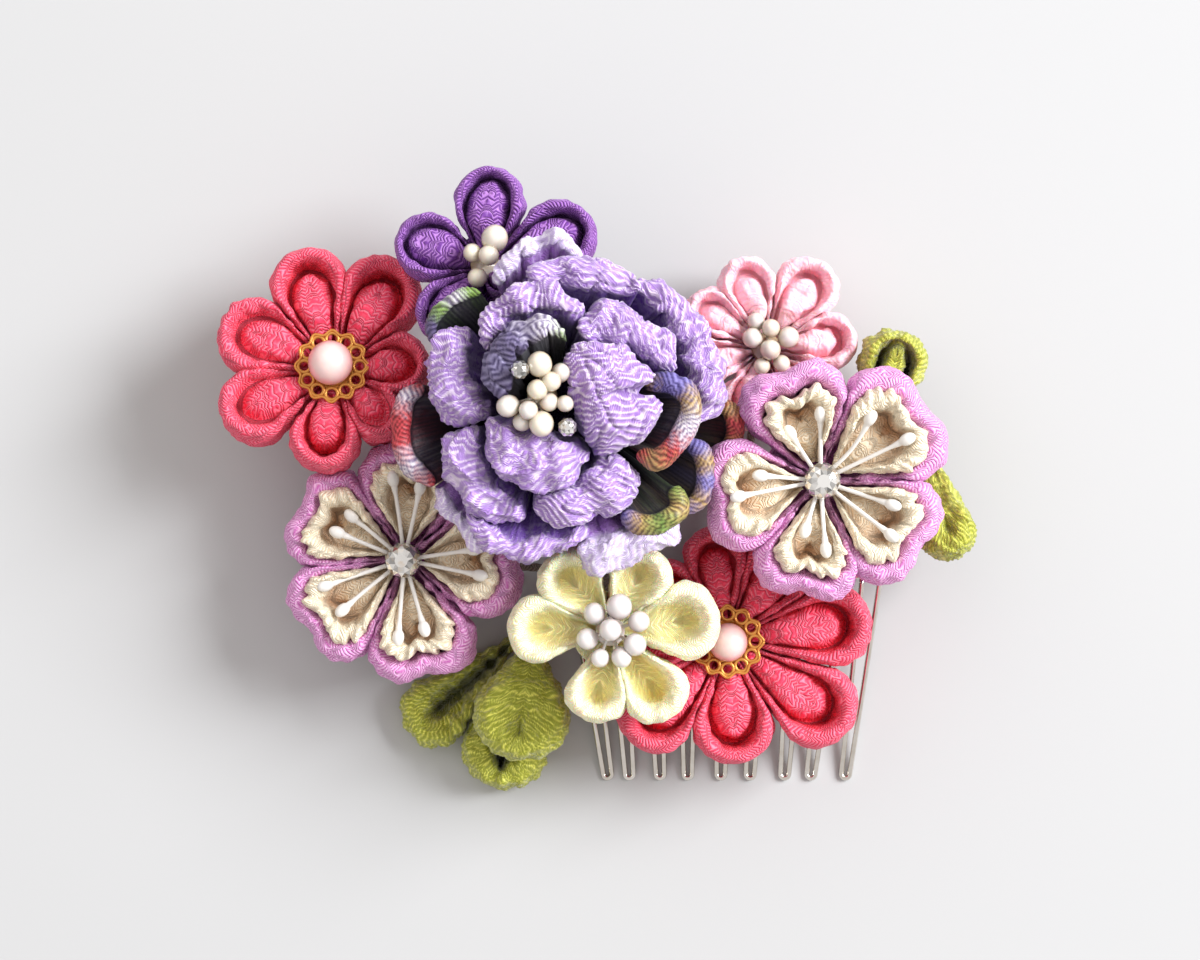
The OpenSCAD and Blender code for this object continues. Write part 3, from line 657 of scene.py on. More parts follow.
# %% Coral petals
# Section rows: share inward, share of height and depth in the fold at the sides, then the same at the tip
TONGUE = [
    [1.00, 0.93, 0.0, 1.00, 0.86, 0.0], [0.84, 0.93, 0.0, 0.88, 0.87, 0.0],
    [0.66, 0.90, 0.0, 0.74, 0.80, 0.05], [0.54, 0.78, 0.2, 0.66, 0.60, 0.5],
    [0.48, 0.60, 0.7, 0.58, 0.42, 1.0], [0.43, 0.56, 0.9, 0.48, 0.36, 1.0],
    [0.39, 0.68, 0.6, 0.41, 0.54, 0.8], [0.35, 0.86, 0.1, 0.36, 0.86, 0.1], [0.20, 1.00, 0.0],
    [0.05, 0.86, 0.0], [0.00, 0.55, 0.0], [0.04, 0.18, 0.0], [0.14, 0.00, 0.1], [0.60, 0.02, 0.3],
    [1.00, 0.10, 0.3]]
# Where the flower stands: x, y, z, then the direction in which it leans and by how much, in degrees
CORAL_LEFT_AT = (-34.3, 13.6, 11, 90, 9)
CORAL_LEFT = [
    [106, 16, 25.5, 0.3, 0.95], [158, 15.6, 26.5, -0.5, 0.5], [207, 15.6, 24.5, 0.2, 0.5],
    [265, 13.4, 28, -0.2, 1], [314, 11.8, 24.5, 0.3, 0.3], [2, 12.5, 27, 0.0, 0.8],
    [57, 16.4, 26.5, -0.4, 1.2]]
CORAL_LOWER_AT = (16.5, -20.9, 7, 0, 0)
CORAL_LOWER = [
    [274, 15.9, 28, 0.2, 1.1], [324, 19.6, 21.5, -0.2, 1.1], [8.5, 18.9, 22, 0.4, 1.1],
    [54, 16, 23.5, 0.0, 1], [98, 15, 21.5, 0.3, 1], [139, 14, 20.5, -0.3, 1], [181, 15, 22, 0.0, 1],
    [226, 18.2, 22, 0.3, 1.1]]
cloth_flower("coral_left", CORAL_LEFT_AT, CORAL_LEFT, CORAL, 0.6, height=8.0, rows=TONGUE, climb=9.6)
cloth_flower("coral_lower", CORAL_LOWER_AT, CORAL_LOWER, CORAL, 0.6, height=7.0, rows=TONGUE)

# %% [markdown]
# ## Violet and blush
# The violet flower has five broader petals whose tongues sit high and close the groove to a slit. The
# blush flower is napped and soft, so its lumps are larger and its ridges fainter.

# %% Violet and blush petals
BROAD_TONGUE = [
    [1.00, 0.97, 0.0, 1.00, 0.92, 0.0], [0.80, 0.97, 0.0, 0.80, 0.93, 0.0],
    [0.60, 0.93, 0.0, 0.60, 0.88, 0.0], [0.47, 0.76, 0.1, 0.46, 0.72, 0.1],
    [0.40, 0.58, 0.7, 0.38, 0.54, 0.8], [0.365, 0.52, 1.0, 0.335, 0.46, 1.0],
    [0.335, 0.68, 0.6, 0.305, 0.64, 0.6], [0.30, 0.88, 0.05, 0.27, 0.88, 0.05], [0.17, 1.00, 0.0],
    [0.04, 0.84, 0.0], [0.00, 0.52, 0.0], [0.06, 0.14, 0.0], [0.16, 0.00, 0.1], [0.60, 0.02, 0.3],
    [1.00, 0.10, 0.3]]
VIOLET_AT = (-14.4, 26.8, 17, 110, 7)
VIOLET_PETALS = [
    [86, 12.5, 34.3, 0.6, 1.0], [162, 11.8, 35, -0.3, 0.8], [231, 11.6, 30.5, 0.3, 1], [306, 4.8, 32, 0.0, 1],
    [20, 14.8, 29.3, -0.8, 1.2]]
BLUSH_AT = (21.4, 17, 6, 60, 5)
BLUSH_PETALS = [
    [5, 11.8, 24.6, 0.0, 0.8], [55, 13.3, 25, 0.3, 0.6], [107, 12, 24, -0.3, 0.5], [150, 11.8, 20, 0.2, 0.5],
    [196, 10.8, 22.5, 0.0, 0.6], [250, 11, 26, 0.0, 0.8], [307, 11, 27, 0.0, 0.8]]
cloth_flower("violet", VIOLET_AT, VIOLET_PETALS, VIOLET, 0.6, height=7.0, rows=BROAD_TONGUE, blunt=1.0)
cloth_flower("blush", BLUSH_AT, BLUSH_PETALS, BLUSH, 0.5, height=7.5, rows=TONGUE, lump=0.18)

# %% [markdown]
# ## Lemon
# Six open cups. The rim is rolled thick and stands over a smooth bowl, painted golden where it is deep
# for the light that bounces in the bowl.

# %% Lemon petals
CUP = [
    [1.00, 0.56, 0.4, 1.00, 0.50, 0.45], [0.80, 0.56, 0.45, 0.80, 0.46, 0.55],
    [0.64, 0.59, 0.5, 0.64, 0.48, 0.65], [0.54, 0.69, 0.4, 0.52, 0.58, 0.5],
    [0.46, 0.84, 0.1, 0.44, 0.80, 0.1], [0.38, 0.98, 0.0, 0.35, 0.98, 0.0],
    [0.22, 1.05, 0.0, 0.21, 1.05, 0.0], [0.07, 0.94, 0.0], [0.00, 0.64, 0.0], [0.05, 0.24, 0.0],
    [0.16, 0.00, 0.1], [0.60, 0.00, 0.2], [1.00, 0.04, 0.3]]
LEMON_AT = (1.3, -19.2, 16.5, 0, 0)
LEMON_PETALS = [
    [8, 14, 29, 0.0, 1], [62, 11.8, 29, 0.4, 0.8], [127, 12.2, 29, -0.5, 1], [178, 13, 26.5, -0.3, 1],
    [258, 11.7, 27.5, 0.3, 1], [307, 13.4, 25, 0.0, 1.3]]
cloth_flower("lemon", LEMON_AT, LEMON_PETALS, LEMON, 0.5, height=6.8, rows=CUP, blunt=1.25, end=0.6,
             lump=0.1, parted=False)

# %% [markdown]
# ## The two cherry flowers
# Each petal is two cloths folded as one: an orchid petal outside with a notch in its tip, and inside it
# a cream one whose rim is crinkled. Its hollow is painted beige as shade.

# %% Cherry petals
OUTER = [
    [1.00, 0.40, 0.8], [0.52, 0.40, 0.8, 0.74, 0.38, 0.8], [0.38, 0.62, 0.6, 0.62, 0.58, 0.6],
    [0.30, 0.86, 0.2, 0.50, 0.86, 0.2], [0.17, 1.00, 0.0, 0.27, 1.04, 0.0],
    [0.04, 0.84, 0.0, 0.06, 0.84, 0.0], [0.00, 0.52, 0.0], [0.04, 0.18, 0.0], [0.14, 0.00, 0.2],
    [0.60, 0.02, 0.5], [1.00, 0.10, 0.5]]
INNER = [
    [1.00, 0.70, 0.10, 1.00, 0.60, 0.3], [0.80, 0.68, 0.15, 0.86, 0.55, 0.5],
    [0.62, 0.66, 0.3, 0.68, 0.52, 0.85], [0.52, 0.66, 0.4, 0.54, 0.53, 1.0],
    [0.45, 0.78, 0.3, 0.46, 0.66, 0.8], [0.39, 1.01, 0.0, 0.39, 0.98, 0.05],
    [0.26, 1.13, 0.0, 0.25, 1.13, 0.0], [0.11, 1.12, 0.0, 0.10, 1.12, 0.0], [0.02, 1.00, 0.0],
    [0.00, 0.84, 0.1], [0.10, 0.62, 0.4], [0.60, 0.50, 0.6, 0.60, 0.42, 0.6],
    [1.00, 0.50, 0.6, 1.00, 0.42, 0.6]]
CHERRY_RIGHT_AT = (27.7, 0, 17, 340, 3)
CHERRY_LEFT_AT = (-25, -10.2, 8, 200, 4)
# Direction, length, half angle, and how far the cream petal's tip is set in
CHERRY_RIGHT = [
    [109, 16, 35.5, 3.4], [37, 17.8, 37.5, 2.8], [325.5, 16.8, 36, 2.9], [260, 15.8, 34, 3],
    [190, 15.9, 38, 2.2]]
CHERRY_LEFT = [
    [83, 15.8, 38, 2.4], [152, 16.6, 33, 2.6], [216, 16.8, 33, 2.6], [282, 16.6, 35, 3.2], [1, 16.2, 41, 2.8]]
# Height, depth of the notch, and how far a cream petal is set in at the root, and is narrower in degrees
CHERRY_H, CHERRY_NOTCH, CREAM_IN, CREAM_NARROW = 8.0, 1.5, 1.5, 1.5


def cream_flower(at, table):
    """The inner petals: the same outline, narrower and set in from the outer one's edge."""
    parts = []
    for i, (direction, length, spread, tip_in) in enumerate(table):
        one = petal(length - CREAM_IN - tip_in, spread - CREAM_NARROW, CHERRY_H, INNER, blunt=1.3,
                    notch=CHERRY_NOTCH, end=0.6, low=0.5, steps=88, across=36, ruffle=0.04, seed=17 * i + 3,
                    lump=0.1)
        parts.append(moved(one, turned(one["points"] + [CREAM_IN, 0, 0], direction)))
    return standing(parts, at)


for side, at, table in (("right", CHERRY_RIGHT_AT, CHERRY_RIGHT), ("left", CHERRY_LEFT_AT, CHERRY_LEFT)):
    outer = flower(at, [row[:3] + [0, 1] for row in table], height=CHERRY_H, rows=OUTER, blunt=1.35,
                   notch=CHERRY_NOTCH, end=0.6, lump=0.18)
    inner = cream_flower(at, table)
    piece_of(f"cherry_{side}_orchid", outer, ORCHID, [f"cherry_{side}_outer"])
    piece_of(f"cherry_{side}_cream", inner, CREAM, [f"cherry_{side}_inner"])

# %% [markdown]
# ## The peony
# Fourteen lengths of gathered crepe stand on a round plate and roll outwards at the top, one behind the
# other. From above each is a patch between an inner and an outer line. The section rises from the plate
# to the inner line, swells over to the outer one and returns below. The ridges cross the patch in a
# zigzag, and each petal has a heading of its own for them.

# %% A gathered band
PEONY_AT = np.array([-5.6, 10.0])
# Top of the plate, thickness of the double cloth, air under it, and the highest that a roll may swell
PLATE_Z, CLOTH_T, GAP, BULGE_MOST = 16.4, 1.2, 0.15, 2.6
# Rows of the roll: share of the way from the inner line to the outer one, height in bulges, and depth in
# the fold, which sets the painted shade
ROLL = np.array([
    [0.00, -1.00, 0.5], [0.08, -0.45, 0.1], [0.30, -0.08, 0.0], [0.50, 0.00, 0.0], [0.72, -0.10, 0.0],
    [0.93, -0.50, 0.0], [1.00, -1.00, 0.15], [0.94, -1.50, 0.4], [0.70, -1.80, 0.7], [0.40, -1.75, 0.9]])
# The sheet below: share of the way out and share of the way up from the foot
SHEET = np.array([[0, 0], [0.35, 0.4], [0.7, 0.75], [0.96, 0.96]])
# How deep in the fold the sheets lie; they are painted almost wholly in the fold's shade
SHEET_DEPTH = [1, 1, 0.95, 0.9]
# How long the slow noise is on the width, the crest, the course of the ridges, their zigzag and the folds
WIDTH_NOISE, CREST_NOISE, COURSE_NOISE, ZIG_NOISE, FOLD_NOISE = 4.5, 5.0, 5.0, 3.5, 6.5
CREASE_WIDE, FOLD_WIDE = 0.55, 0.2


def zigzag(x, period, size):
    """A triangle wave with its corners rounded."""
    return size * 2 / np.pi * np.arcsin(0.85 * np.sin(2 * np.pi * x / period))


def roll_steps(count):
    """Where to sample a section of sheet, roll and sheet: evenly over the roll, once a row on the sheets."""
    dense = along(ROLL, np.linspace(0, 1, SAMPLES))
    run = lengths(dense[:, :2] * [1, 0.45])
    over = np.interp(np.linspace(0, run[-1], count), run, np.linspace(0, len(ROLL) - 1, SAMPLES))
    down = np.arange(len(SHEET))
    return np.concatenate([down, len(SHEET) + over, len(SHEET) + len(ROLL) + down])


def rolled(rows, root, seed, fine, swell, gather, dip, fold):
    """A grid of points over sheet, roll and sheet: rows along the crest, steps round the section.

    With it come each row's length along the crest and how open the roll is there, and the steps. The roll
    closes at both ends, where its crest dips. Points lie about fine apart.
    """
    rows = np.asarray(rows, float)
    middle = np.column_stack([(rows[:, :2] + rows[:, 2:4]) / 2, rows[:, 4]])
    stations = int(lengths(along(middle, np.linspace(0, 1, 60)))[-1] / fine)
    t = np.linspace(0, 1, stations)
    edge, crest = along(rows, t), along(middle, t)
    a = lengths(crest)
    half = (edge[:, :2] - edge[:, 2:4]) / 2
    half *= 1 + 0.16 * fold * lumps(a[:, None], WIDTH_NOISE, seed + 7)[:, None]
    width = 2 * np.linalg.norm(half, axis=1)
    close = np.maximum(1 - np.abs(2 * t - 1) ** 6, 0.002) ** (1 / 2.2)
    bulge = np.minimum(swell * width, BULGE_MOST) * close
    crest[:, 2] += gather * lumps(a[:, None], CREST_NOISE, seed + 3) - dip * (1 - close)
    flat = half[None] * (2 * ROLL[:, 0, None, None] - 1) * close[None, :, None]
    roll = crest[None] + np.concatenate([flat, (ROLL[:, 1, None] * bulge)[..., None]], -1)
    out = crest[:, :2] - PEONY_AT
    out /= np.linalg.norm(out, axis=1, keepdims=True)

    def sheet(foot, top):
        """Rows from the foot circle up to the roll."""
        foot = np.concatenate([PEONY_AT + out * foot, np.full((stations, 1), PLATE_Z + GAP)], 1)
        return foot + (top - foot) * SHEET[:, None, [0, 0, 1]]

    inner, outer = sheet(root - CLOTH_T / 2, roll[0]), sheet(root + CLOTH_T / 2, roll[-1])
    section = np.concatenate([inner, roll, outer[::-1]])
    steps = roll_steps(int(np.clip(np.median(width) * 1.7 / (1.2 * fine), 22, 90)))
    return along(section, steps / (len(section) - 1)).transpose(1, 0, 2), a, close, steps


def ridges(cloth, heading, pitch, wave, zig, seed):
    """How high on a ridge each point of the flat cloth lies, from 0 to 1.

    A ridge lies where (u + zigzag(v)) / pitch is whole, with u and v the lengths along and across the
    roll, turned by the heading. Slow noise bends the ridges and changes the size of their zigzag.
    """
    a, b = cloth.T
    turn = np.radians(heading)
    u, v = a * np.cos(turn) + b * np.sin(turn), b * np.cos(turn) - a * np.sin(turn)
    slow = lumps(cloth, COURSE_NOISE, seed + 2) * 0.45
    size = zig * (0.8 + 0.35 * lumps(cloth, ZIG_NOISE, seed + 4))
    return 0.5 + 0.5 * np.cos(2 * np.pi * (u + zigzag(v + 2.4 * slow, wave, size) + slow) / pitch)


def grooves(cloth, share, close, crease, fold, seed):
    """How far each point is drawn in, by a crease across the middle of the patch and by its folds.

    The crease is cut towards the outer edge. A fold lies where slow noise over the cloth is 0, and fades
    where the roll closes.
    """
    a = cloth[:, 0]
    tucks = lumps(cloth * [0.9, 1.5], FOLD_NOISE, seed + 6)
    crease = crease * np.exp(-(((a - a.max() / 2) / CREASE_WIDE) ** 2)) * soft_step((share - 0.25) / 0.5)
    return crease + fold * np.exp(-((tucks / FOLD_WIDE) ** 2)) * soft_step(close * 1.5 - 0.5)


def band(rows, root, heading, seed, ridge, pitch=0.85, wave=2.8, zig=0.55, fine=0.16, swell=0.45,
         lump=0.26, gather=0.4, dip=1.5, crease=0.0, fold=0.5, inner_depth=0.6):
    """A rolled sheet of cloth between an outer and an inner line; its foot stands on a circle.

    Ridge is how high the ridges stand, and inner depth how deep in the shade the roll's inner edge is.
    """
    grid, a, close, steps = rolled(rows, root, seed, fine, swell, gather, dip, fold)
    ids = np.arange(len(a) * len(steps)).reshape(len(a), len(steps))
    share = np.interp(steps, len(SHEET) + np.arange(len(ROLL)), ROLL[:, 0])
    depth = np.concatenate([SHEET_DEPTH, [inner_depth], ROLL[1:, 2], np.ones(len(SHEET))])
    deep = np.interp(steps, np.arange(len(depth)), depth)
    b = np.cumsum(np.linalg.norm(np.diff(grid, axis=1, prepend=grid[:, :1]), axis=-1), 1)
    b = b - b[:, [np.abs(steps - len(SHEET) - 3).argmin()]]
    cloth = np.stack([np.repeat(a, len(steps)), b.ravel()], -1)
    groove = grooves(cloth, np.tile(share, len(a)), np.repeat(close, len(steps)), crease, fold, seed)
    part = surface(
        grid.reshape(-1, 3), closed(ids), [ids[0], ids[-1][::-1]], cloth,
        ridge=ridges(cloth, heading, pitch, wave, zig, seed), deep=np.tile(deep, len(a)), groove=groove,
        band=np.repeat(np.linspace(0, 1, len(a)), len(steps)))
    kept = part["layers"]
    relief = ridge * (kept["ridge"] - 0.5) * (1 - 0.6 * kept["deep"])
    return swollen(part, uneven(part, lump, 4.0, 1.8, seed) - kept.pop("groove") + relief)


# %% [markdown]
# The rows below are read off the picture and turned into millimetres at the petal's own height: the outer
# line, the inner line beside it, and the height of the crest between them. After the rows stand the
# radius of the foot's circle and the heading of the ridges, in degrees from straight across the roll.

# %% Peony petals
# Rows: outer x, y, inner x, y, height of the crest; then the foot's radius and the ridges' heading
PETALS = [
    [[[-12.7, 9.9, -11, 9.9, 32], [-14.4, 12.5, -10.8, 12.8, 33], [-13.8, 15.9, -10.3, 14.9, 34],
      [-11.6, 18.8, -9, 16.4, 34.8], [-7.9, 20.4, -7.2, 17.4, 34.8], [-4.9, 19.4, -5.9, 17.6, 34],
      [-3.7, 17.4, -4.7, 17, 33]], 4.2, 30],
    [[[-15.2, 16.4, -13.3, 15.8, 31], [-14.8, 20.6, -12.4, 18.5, 32], [-11.7, 23.6, -10.2, 20.4, 33],
      [-6.8, 24.6, -6.4, 21, 33], [-1.7, 22.4, -2, 19.3, 32]], 5.8, 0],
    [[[-17.1, 19.6, -15.8, 18.6, 29], [-20.3, 17.4, -16.4, 16.1, 29.5], [-21.4, 13, -16, 13.1, 29.5],
      [-20.3, 8.7, -14.6, 10.3, 29.5], [-16.7, 6.2, -12.8, 8.6, 28.5]], 7.2, 0],
    [[[-14.6, 5.9, -14.1, 8.2, 30], [-13.2, 1.7, -11.7, 7.3, 31.3], [-9.6, -1, -8.6, 6.4, 31.8],
      [-4.9, -0.9, -5.2, 5.3, 31.5], [-1, 2.7, -1.4, 4.2, 30.5]], 4.4, 60],
    [[[-15.9, 7.3, -14.8, 6, 28], [-19.4, 5, -14.7, 3.1, 28.8], [-19.4, 1.2, -13.8, 0.5, 29],
      [-17.1, -2.7, -12.3, -1.4, 28.8], [-13.9, -5.2, -10.6, -2.5, 28.2], [-10, -5.5, -9.5, -3.7, 27.5]],
     7, 0],
    [[[5, 1.7, 1.5, 3.7, 29], [4.6, -2.2, -0.5, 2.5, 29.8], [0.7, -4.3, -2.8, 0.1, 30],
      [-3.7, -5.9, -6.1, -1.2, 29.8], [-8.1, -5.2, -9.2, -1.7, 29]], 6.4, 40],
    [[[-2, 17.1, -4.2, 16.7, 32.5], [2.9, 16.6, -4.5, 14.5, 33.6], [6.5, 13.2, -4, 11.6, 34],
      [6.3, 11.3, -3.6, 9.8, 33.8], [7.6, 8.8, -2.7, 6.9, 33.6], [5.2, 5.2, -1.7, 4.7, 32.6],
      [0.4, 2.7, -0.7, 3.5, 31.5]], 3.4, 10],
    [[[-2.6, 20.1, -3.2, 17.8, 31.5], [1, 22.7, -1, 17, 32], [4.9, 20.4, 2.2, 16.4, 32],
      [8.6, 18, 5.4, 14.8, 31.6], [10, 14.6, 7.9, 12.5, 30.5]], 6.4, 70],
    [[[-9.9, 25.6, -8.9, 23.9, 30.5], [-6.8, 27.3, -5.6, 23.7, 31], [-2.5, 27.8, -1.9, 23.6, 31],
      [1.9, 26.9, 1.6, 23, 30.6], [5.2, 25.3, 5.1, 22.2, 30]], 7.8, 70],
    [[[4.5, 26.6, 4.8, 21.9, 28.5], [9.8, 23.5, 7.6, 20.6, 29], [13.5, 18.9, 8.9, 17.9, 29],
      [15.9, 13, 10.3, 14.4, 28.6], [15.4, 9.1, 11, 10.6, 28], [12.1, 6.7, 10.5, 7.5, 27]], 8.8, 60],
    [[[-14, 24.7, -12, 24.1, 29], [-12.5, 27.4, -10.8, 26.3, 29.6], [-8.9, 30, -8.1, 28, 29.8],
      [-5.2, 31.1, -5.5, 28.9, 29.8], [-1.5, 27.7, -3.2, 27, 29.4]], 9.3, 0],
    [[[-17.2, -4.1, -15.4, -4.5, 26.6], [-15.2, -7.9, -13, -6.4, 27.2], [-11.5, -9.7, -9.7, -7.5, 27.4],
      [-6.2, -9.4, -5.5, -7.1, 27.2], [-1.6, -7.4, -1.2, -5.1, 26.6]], 9, 40],
    [[[-4.2, -9, -1.6, -7, 26.4], [-0.5, -11.6, 1.1, -6.4, 27], [4.4, -9.7, 4.2, -6.1, 27],
      [9.5, -7.9, 7, -5.7, 26.6], [10.1, -4.4, 8.8, -4.1, 26]], 9.2, 20],
    [[[-21.4, -1.3, -20, -0.4, 24], [-19.2, -5, -18, -3.4, 24.4], [-16.3, -7.7, -15.8, -5.5, 24.6],
      [-13.8, -9.5, -13.9, -7.5, 25]], 9.4, 0]]
# The innermost petal is printed cloth, one is creased, and three at the edge are pale and flatter
INNERMOST, CREASED, PALE = 0, 6, (10, 12, 13)
FLAT_RIDGE, BOLD_RIDGE, CREASE = 0.12, 0.24, 1.7
FIRST_PRINT = printed_crepe("printed crepe inner", [GREY, DUSK, GREY, WHITE, LEAF])
for i, (rows, root, heading) in enumerate(PETALS):
    finish = FIRST_PRINT if i == INNERMOST else PALE_LAVENDER if i in PALE else LAVENDER
    relief = FLAT_RIDGE if i == INNERMOST or i in PALE else BOLD_RIDGE
    part = band(rows, root, heading, seed=11 * i + 4, ridge=relief, crease=CREASE * (i == CREASED))
    piece_of(f"peony_cloth_{i + 1}", part, finish, [f"peony_petal_{i + 1}"])

# %% [markdown]
# The printed loops are narrow round rolls of a flatter crepe, tucked between the peony's outer petals.
# The sheet that carries each roll is in the shade and almost black.

# %% Printed loops
# Points x, y, z along the roll, then its thickness, the foot's radius and the row of colours
LOOPS = [
    [[[-21, 17, 27], [-20.8, 19.8, 28], [-19, 22, 28.5], [-16.8, 23.2, 28.5], [-14.8, 23.4, 27.5]], 1.6, 8.4,
     [GREY, GREY, LEAF, WHITE, LEAF, LEAF]],
    [[[-22.4, 12, 24.5], [-24.4, 10, 25.5], [-25, 6.4, 26], [-24.2, 2.4, 25.5], [-20.8, -0.6, 24.5]], 2.5,
     9.4, [RED, WHITE, RED, RED, WHITE, RED]],
    [[[5.4, 11.6, 29.5], [8.2, 12, 31], [10.4, 11, 31.5], [11.2, 8.4, 31.5], [9.4, 4.6, 31], [7, 2.6, 30.4],
      [4.6, 3.4, 29.5]], 3, 6.6, [GOLD, LILAC, LILAC, GOLD, WHITE, RED, GOLD, RED]],
    [[[10.6, 5, 26.5], [12.6, 3.6, 27], [13.2, 1, 27], [12.6, -2, 27], [10.6, -4, 26.5]], 2.5, 8.8,
     [LILAC, LILAC, GOLD, LILAC, GOLD, LILAC]],
    [[[14.6, 9.6, 23.5], [16.6, 8.6, 23.5], [17, 5.4, 22.5], [15.2, 2, 21.5], [12.4, -1.4, 19.5]], 2.4, 10.6,
     [RED, GOLD, RED, GOLD, RED, GOLD]],
    [[[2.8, -4, 27.5], [5, -5.4, 28], [7.6, -5.3, 28.2], [10, -3.4, 28], [9.2, -0.8, 27.5]], 2.7, 7.4,
     [LILAC, GOLD, LEAF, GOLD, LEAF]]]


def beside(line, thick):
    """Rows of a band for a round roll: half its thickness to each side of the line, square to it."""
    line, fine = np.asarray(line, float), 8
    smooth = along(line, np.linspace(0, 1, fine * (len(line) - 1) + 1))
    ahead = np.gradient(smooth, axis=0)[::fine, :2]
    side = ahead[:, ::-1] * [1, -1] / np.linalg.norm(ahead, axis=1, keepdims=True) * thick / 2
    side *= np.sign(np.sum(side * (line[:, :2] - PEONY_AT)))
    return np.column_stack([line[:, :2] + side, line[:, :2] - side, line[:, 2]])


for i, (line, thick, root, colours) in enumerate(LOOPS):
    part = band(beside(line, thick), root, 40, seed=7 * i + 90, pitch=0.6, ridge=0.14, wave=1.6, zig=0.15,
                swell=0.5, lump=0.1, gather=0.15, dip=0.8, fold=0.12, inner_depth=0.97)
    finish = printed_crepe(f"printed crepe {i + 1}", colours)
    piece_of(f"printed_cloth_{i + 1}", part, finish, [f"printed_loop_{i + 1}"])

# %% [markdown]
# ## Leaves
# Five leaves are folded like the petals, of the bold green crepe. One is folded along its middle, two turn
# a broad face up, one is an open pouch, and one has two pockets side by side. Their ridges follow the same
# rule as the peony's, laid over the petal's flat map.

# %% Leaf surfaces
# Section rows as for the petals; their depth paints the fold and the pockets dark as shade
FOLD = [
    [1.00, 0.20, 0.9, 1.00, 0.30, 0.9], [0.84, 0.36, 0.6, 0.84, 0.40, 0.6],
    [0.66, 0.78, 0.0, 0.66, 0.70, 0.0], [0.42, 0.96, 0.0, 0.42, 0.92, 0.0],
    [0.20, 0.94, 0.0, 0.20, 0.90, 0.0], [0.04, 0.70, 0.0, 0.04, 0.66, 0.0], [0.00, 0.42, 0.0],
    [0.06, 0.12, 0.1], [0.18, 0.00, 0.2], [1.00, 0.04, 0.3]]
FACE = [
    [1.00, 0.92, 0.0, 1.00, 0.80, 0.0], [0.80, 0.94, 0.0, 0.80, 0.90, 0.0],
    [0.55, 0.98, 0.0, 0.55, 1.00, 0.0], [0.30, 0.98, 0.0], [0.12, 0.86, 0.0], [0.00, 0.56, 0.0],
    [0.04, 0.20, 0.1], [0.18, 0.00, 0.2], [1.00, 0.04, 0.3]]
POUCH = [
    [1.00, 0.10, 1.0], [0.90, 0.12, 1.0, 0.94, 0.12, 1.0], [0.80, 0.50, 0.7, 0.86, 0.50, 0.7],
    [0.70, 0.86, 0.0, 0.76, 0.86, 0.0], [0.42, 1.00, 0.0], [0.16, 0.86, 0.0], [0.00, 0.50, 0.0],
    [0.06, 0.14, 0.1], [0.20, 0.00, 0.2], [1.00, 0.04, 0.3]]
PAIR = [
    [1.00, 0.90, 0.0], [0.80, 0.92, 0.0, 0.80, 0.94, 0.0], [0.68, 0.60, 0.5, 0.66, 0.95, 0.0],
    [0.60, 0.15, 1.0, 0.56, 0.96, 0.0], [0.50, 0.20, 1.0, 0.46, 0.96, 0.0],
    [0.42, 0.80, 0.4, 0.40, 0.98, 0.0], [0.33, 0.98, 0.0, 0.30, 0.99, 0.0], [0.12, 0.86, 0.0],
    [0.00, 0.56, 0.0], [0.04, 0.20, 0.1], [0.18, 0.00, 0.2], [1.00, 0.04, 0.3]]
# Name, root x, y, z, direction, length, half angle, height, section, lean of the fold
LEAVES = [
    ["leaf_back_left", (-10.4, -20.4, 0), 222, 19.8, 17, 5.4, FOLD, 0.3],
    ["leaf_front", (-8.8, -20.8, 6.2), 262, 15.6, 37, 7.0, FACE, 0.0],
    ["leaf_bottom", (-11, -28.6, 0), 257, 12.4, 48, 5.8, POUCH, 0.0],
    ["leaf_right_top", (36, 7.4, 8), 76, 12.2, 31, 7.6, PAIR, 0.0],
    ["leaf_right_bottom", (41.2, 6.4, 8), 286, 17.2, 15, 7.6, FACE, 0.0]]
# The ridges' pitch, the length of a zigzag and its size, and how high the ridges stand
LEAF_PITCH, LEAF_WAVE, LEAF_ZIG, LEAF_RIDGE = 0.75, 1.9, 0.35, 0.2


def leaf(root, direction, length, spread, height, rows, lean, seed):
    """A petal of green crepe with real ridges laid over its flat map."""
    one = petal(length, spread, height, rows, end=0.74, low=0.5, lean=lean, steps=76, across=54, seed=seed,
                lump=0.22, parted=False)
    flat = one["uv"] * CLOTH_UNIT
    slow = lumps(flat, 3.0, seed + 2) * 0.3
    crosswise = zigzag(flat[:, 1], LEAF_WAVE, LEAF_ZIG)
    ridge = 0.5 + 0.5 * np.cos(2 * np.pi * (flat[:, 0] + crosswise + slow) / LEAF_PITCH)
    one["layers"]["ridge"] = ridge
    one = swollen(one, LEAF_RIDGE * (ridge - 0.5))
    return moved(one, turned(one["points"], direction) + root)


for i, (name, root, direction, length, spread, height, rows, lean) in enumerate(LEAVES):
    part = leaf(root, direction, length, spread, height, rows, lean, seed=5 * i + 40)
    piece_of(name + "_cloth", part, GREEN, [name])

# %% [markdown]
# ## Round things
# Pearls, stamens and stems are all a circle carried along a line while its radius changes. The line's
# own plane gives the circle its direction, so nothing twists.

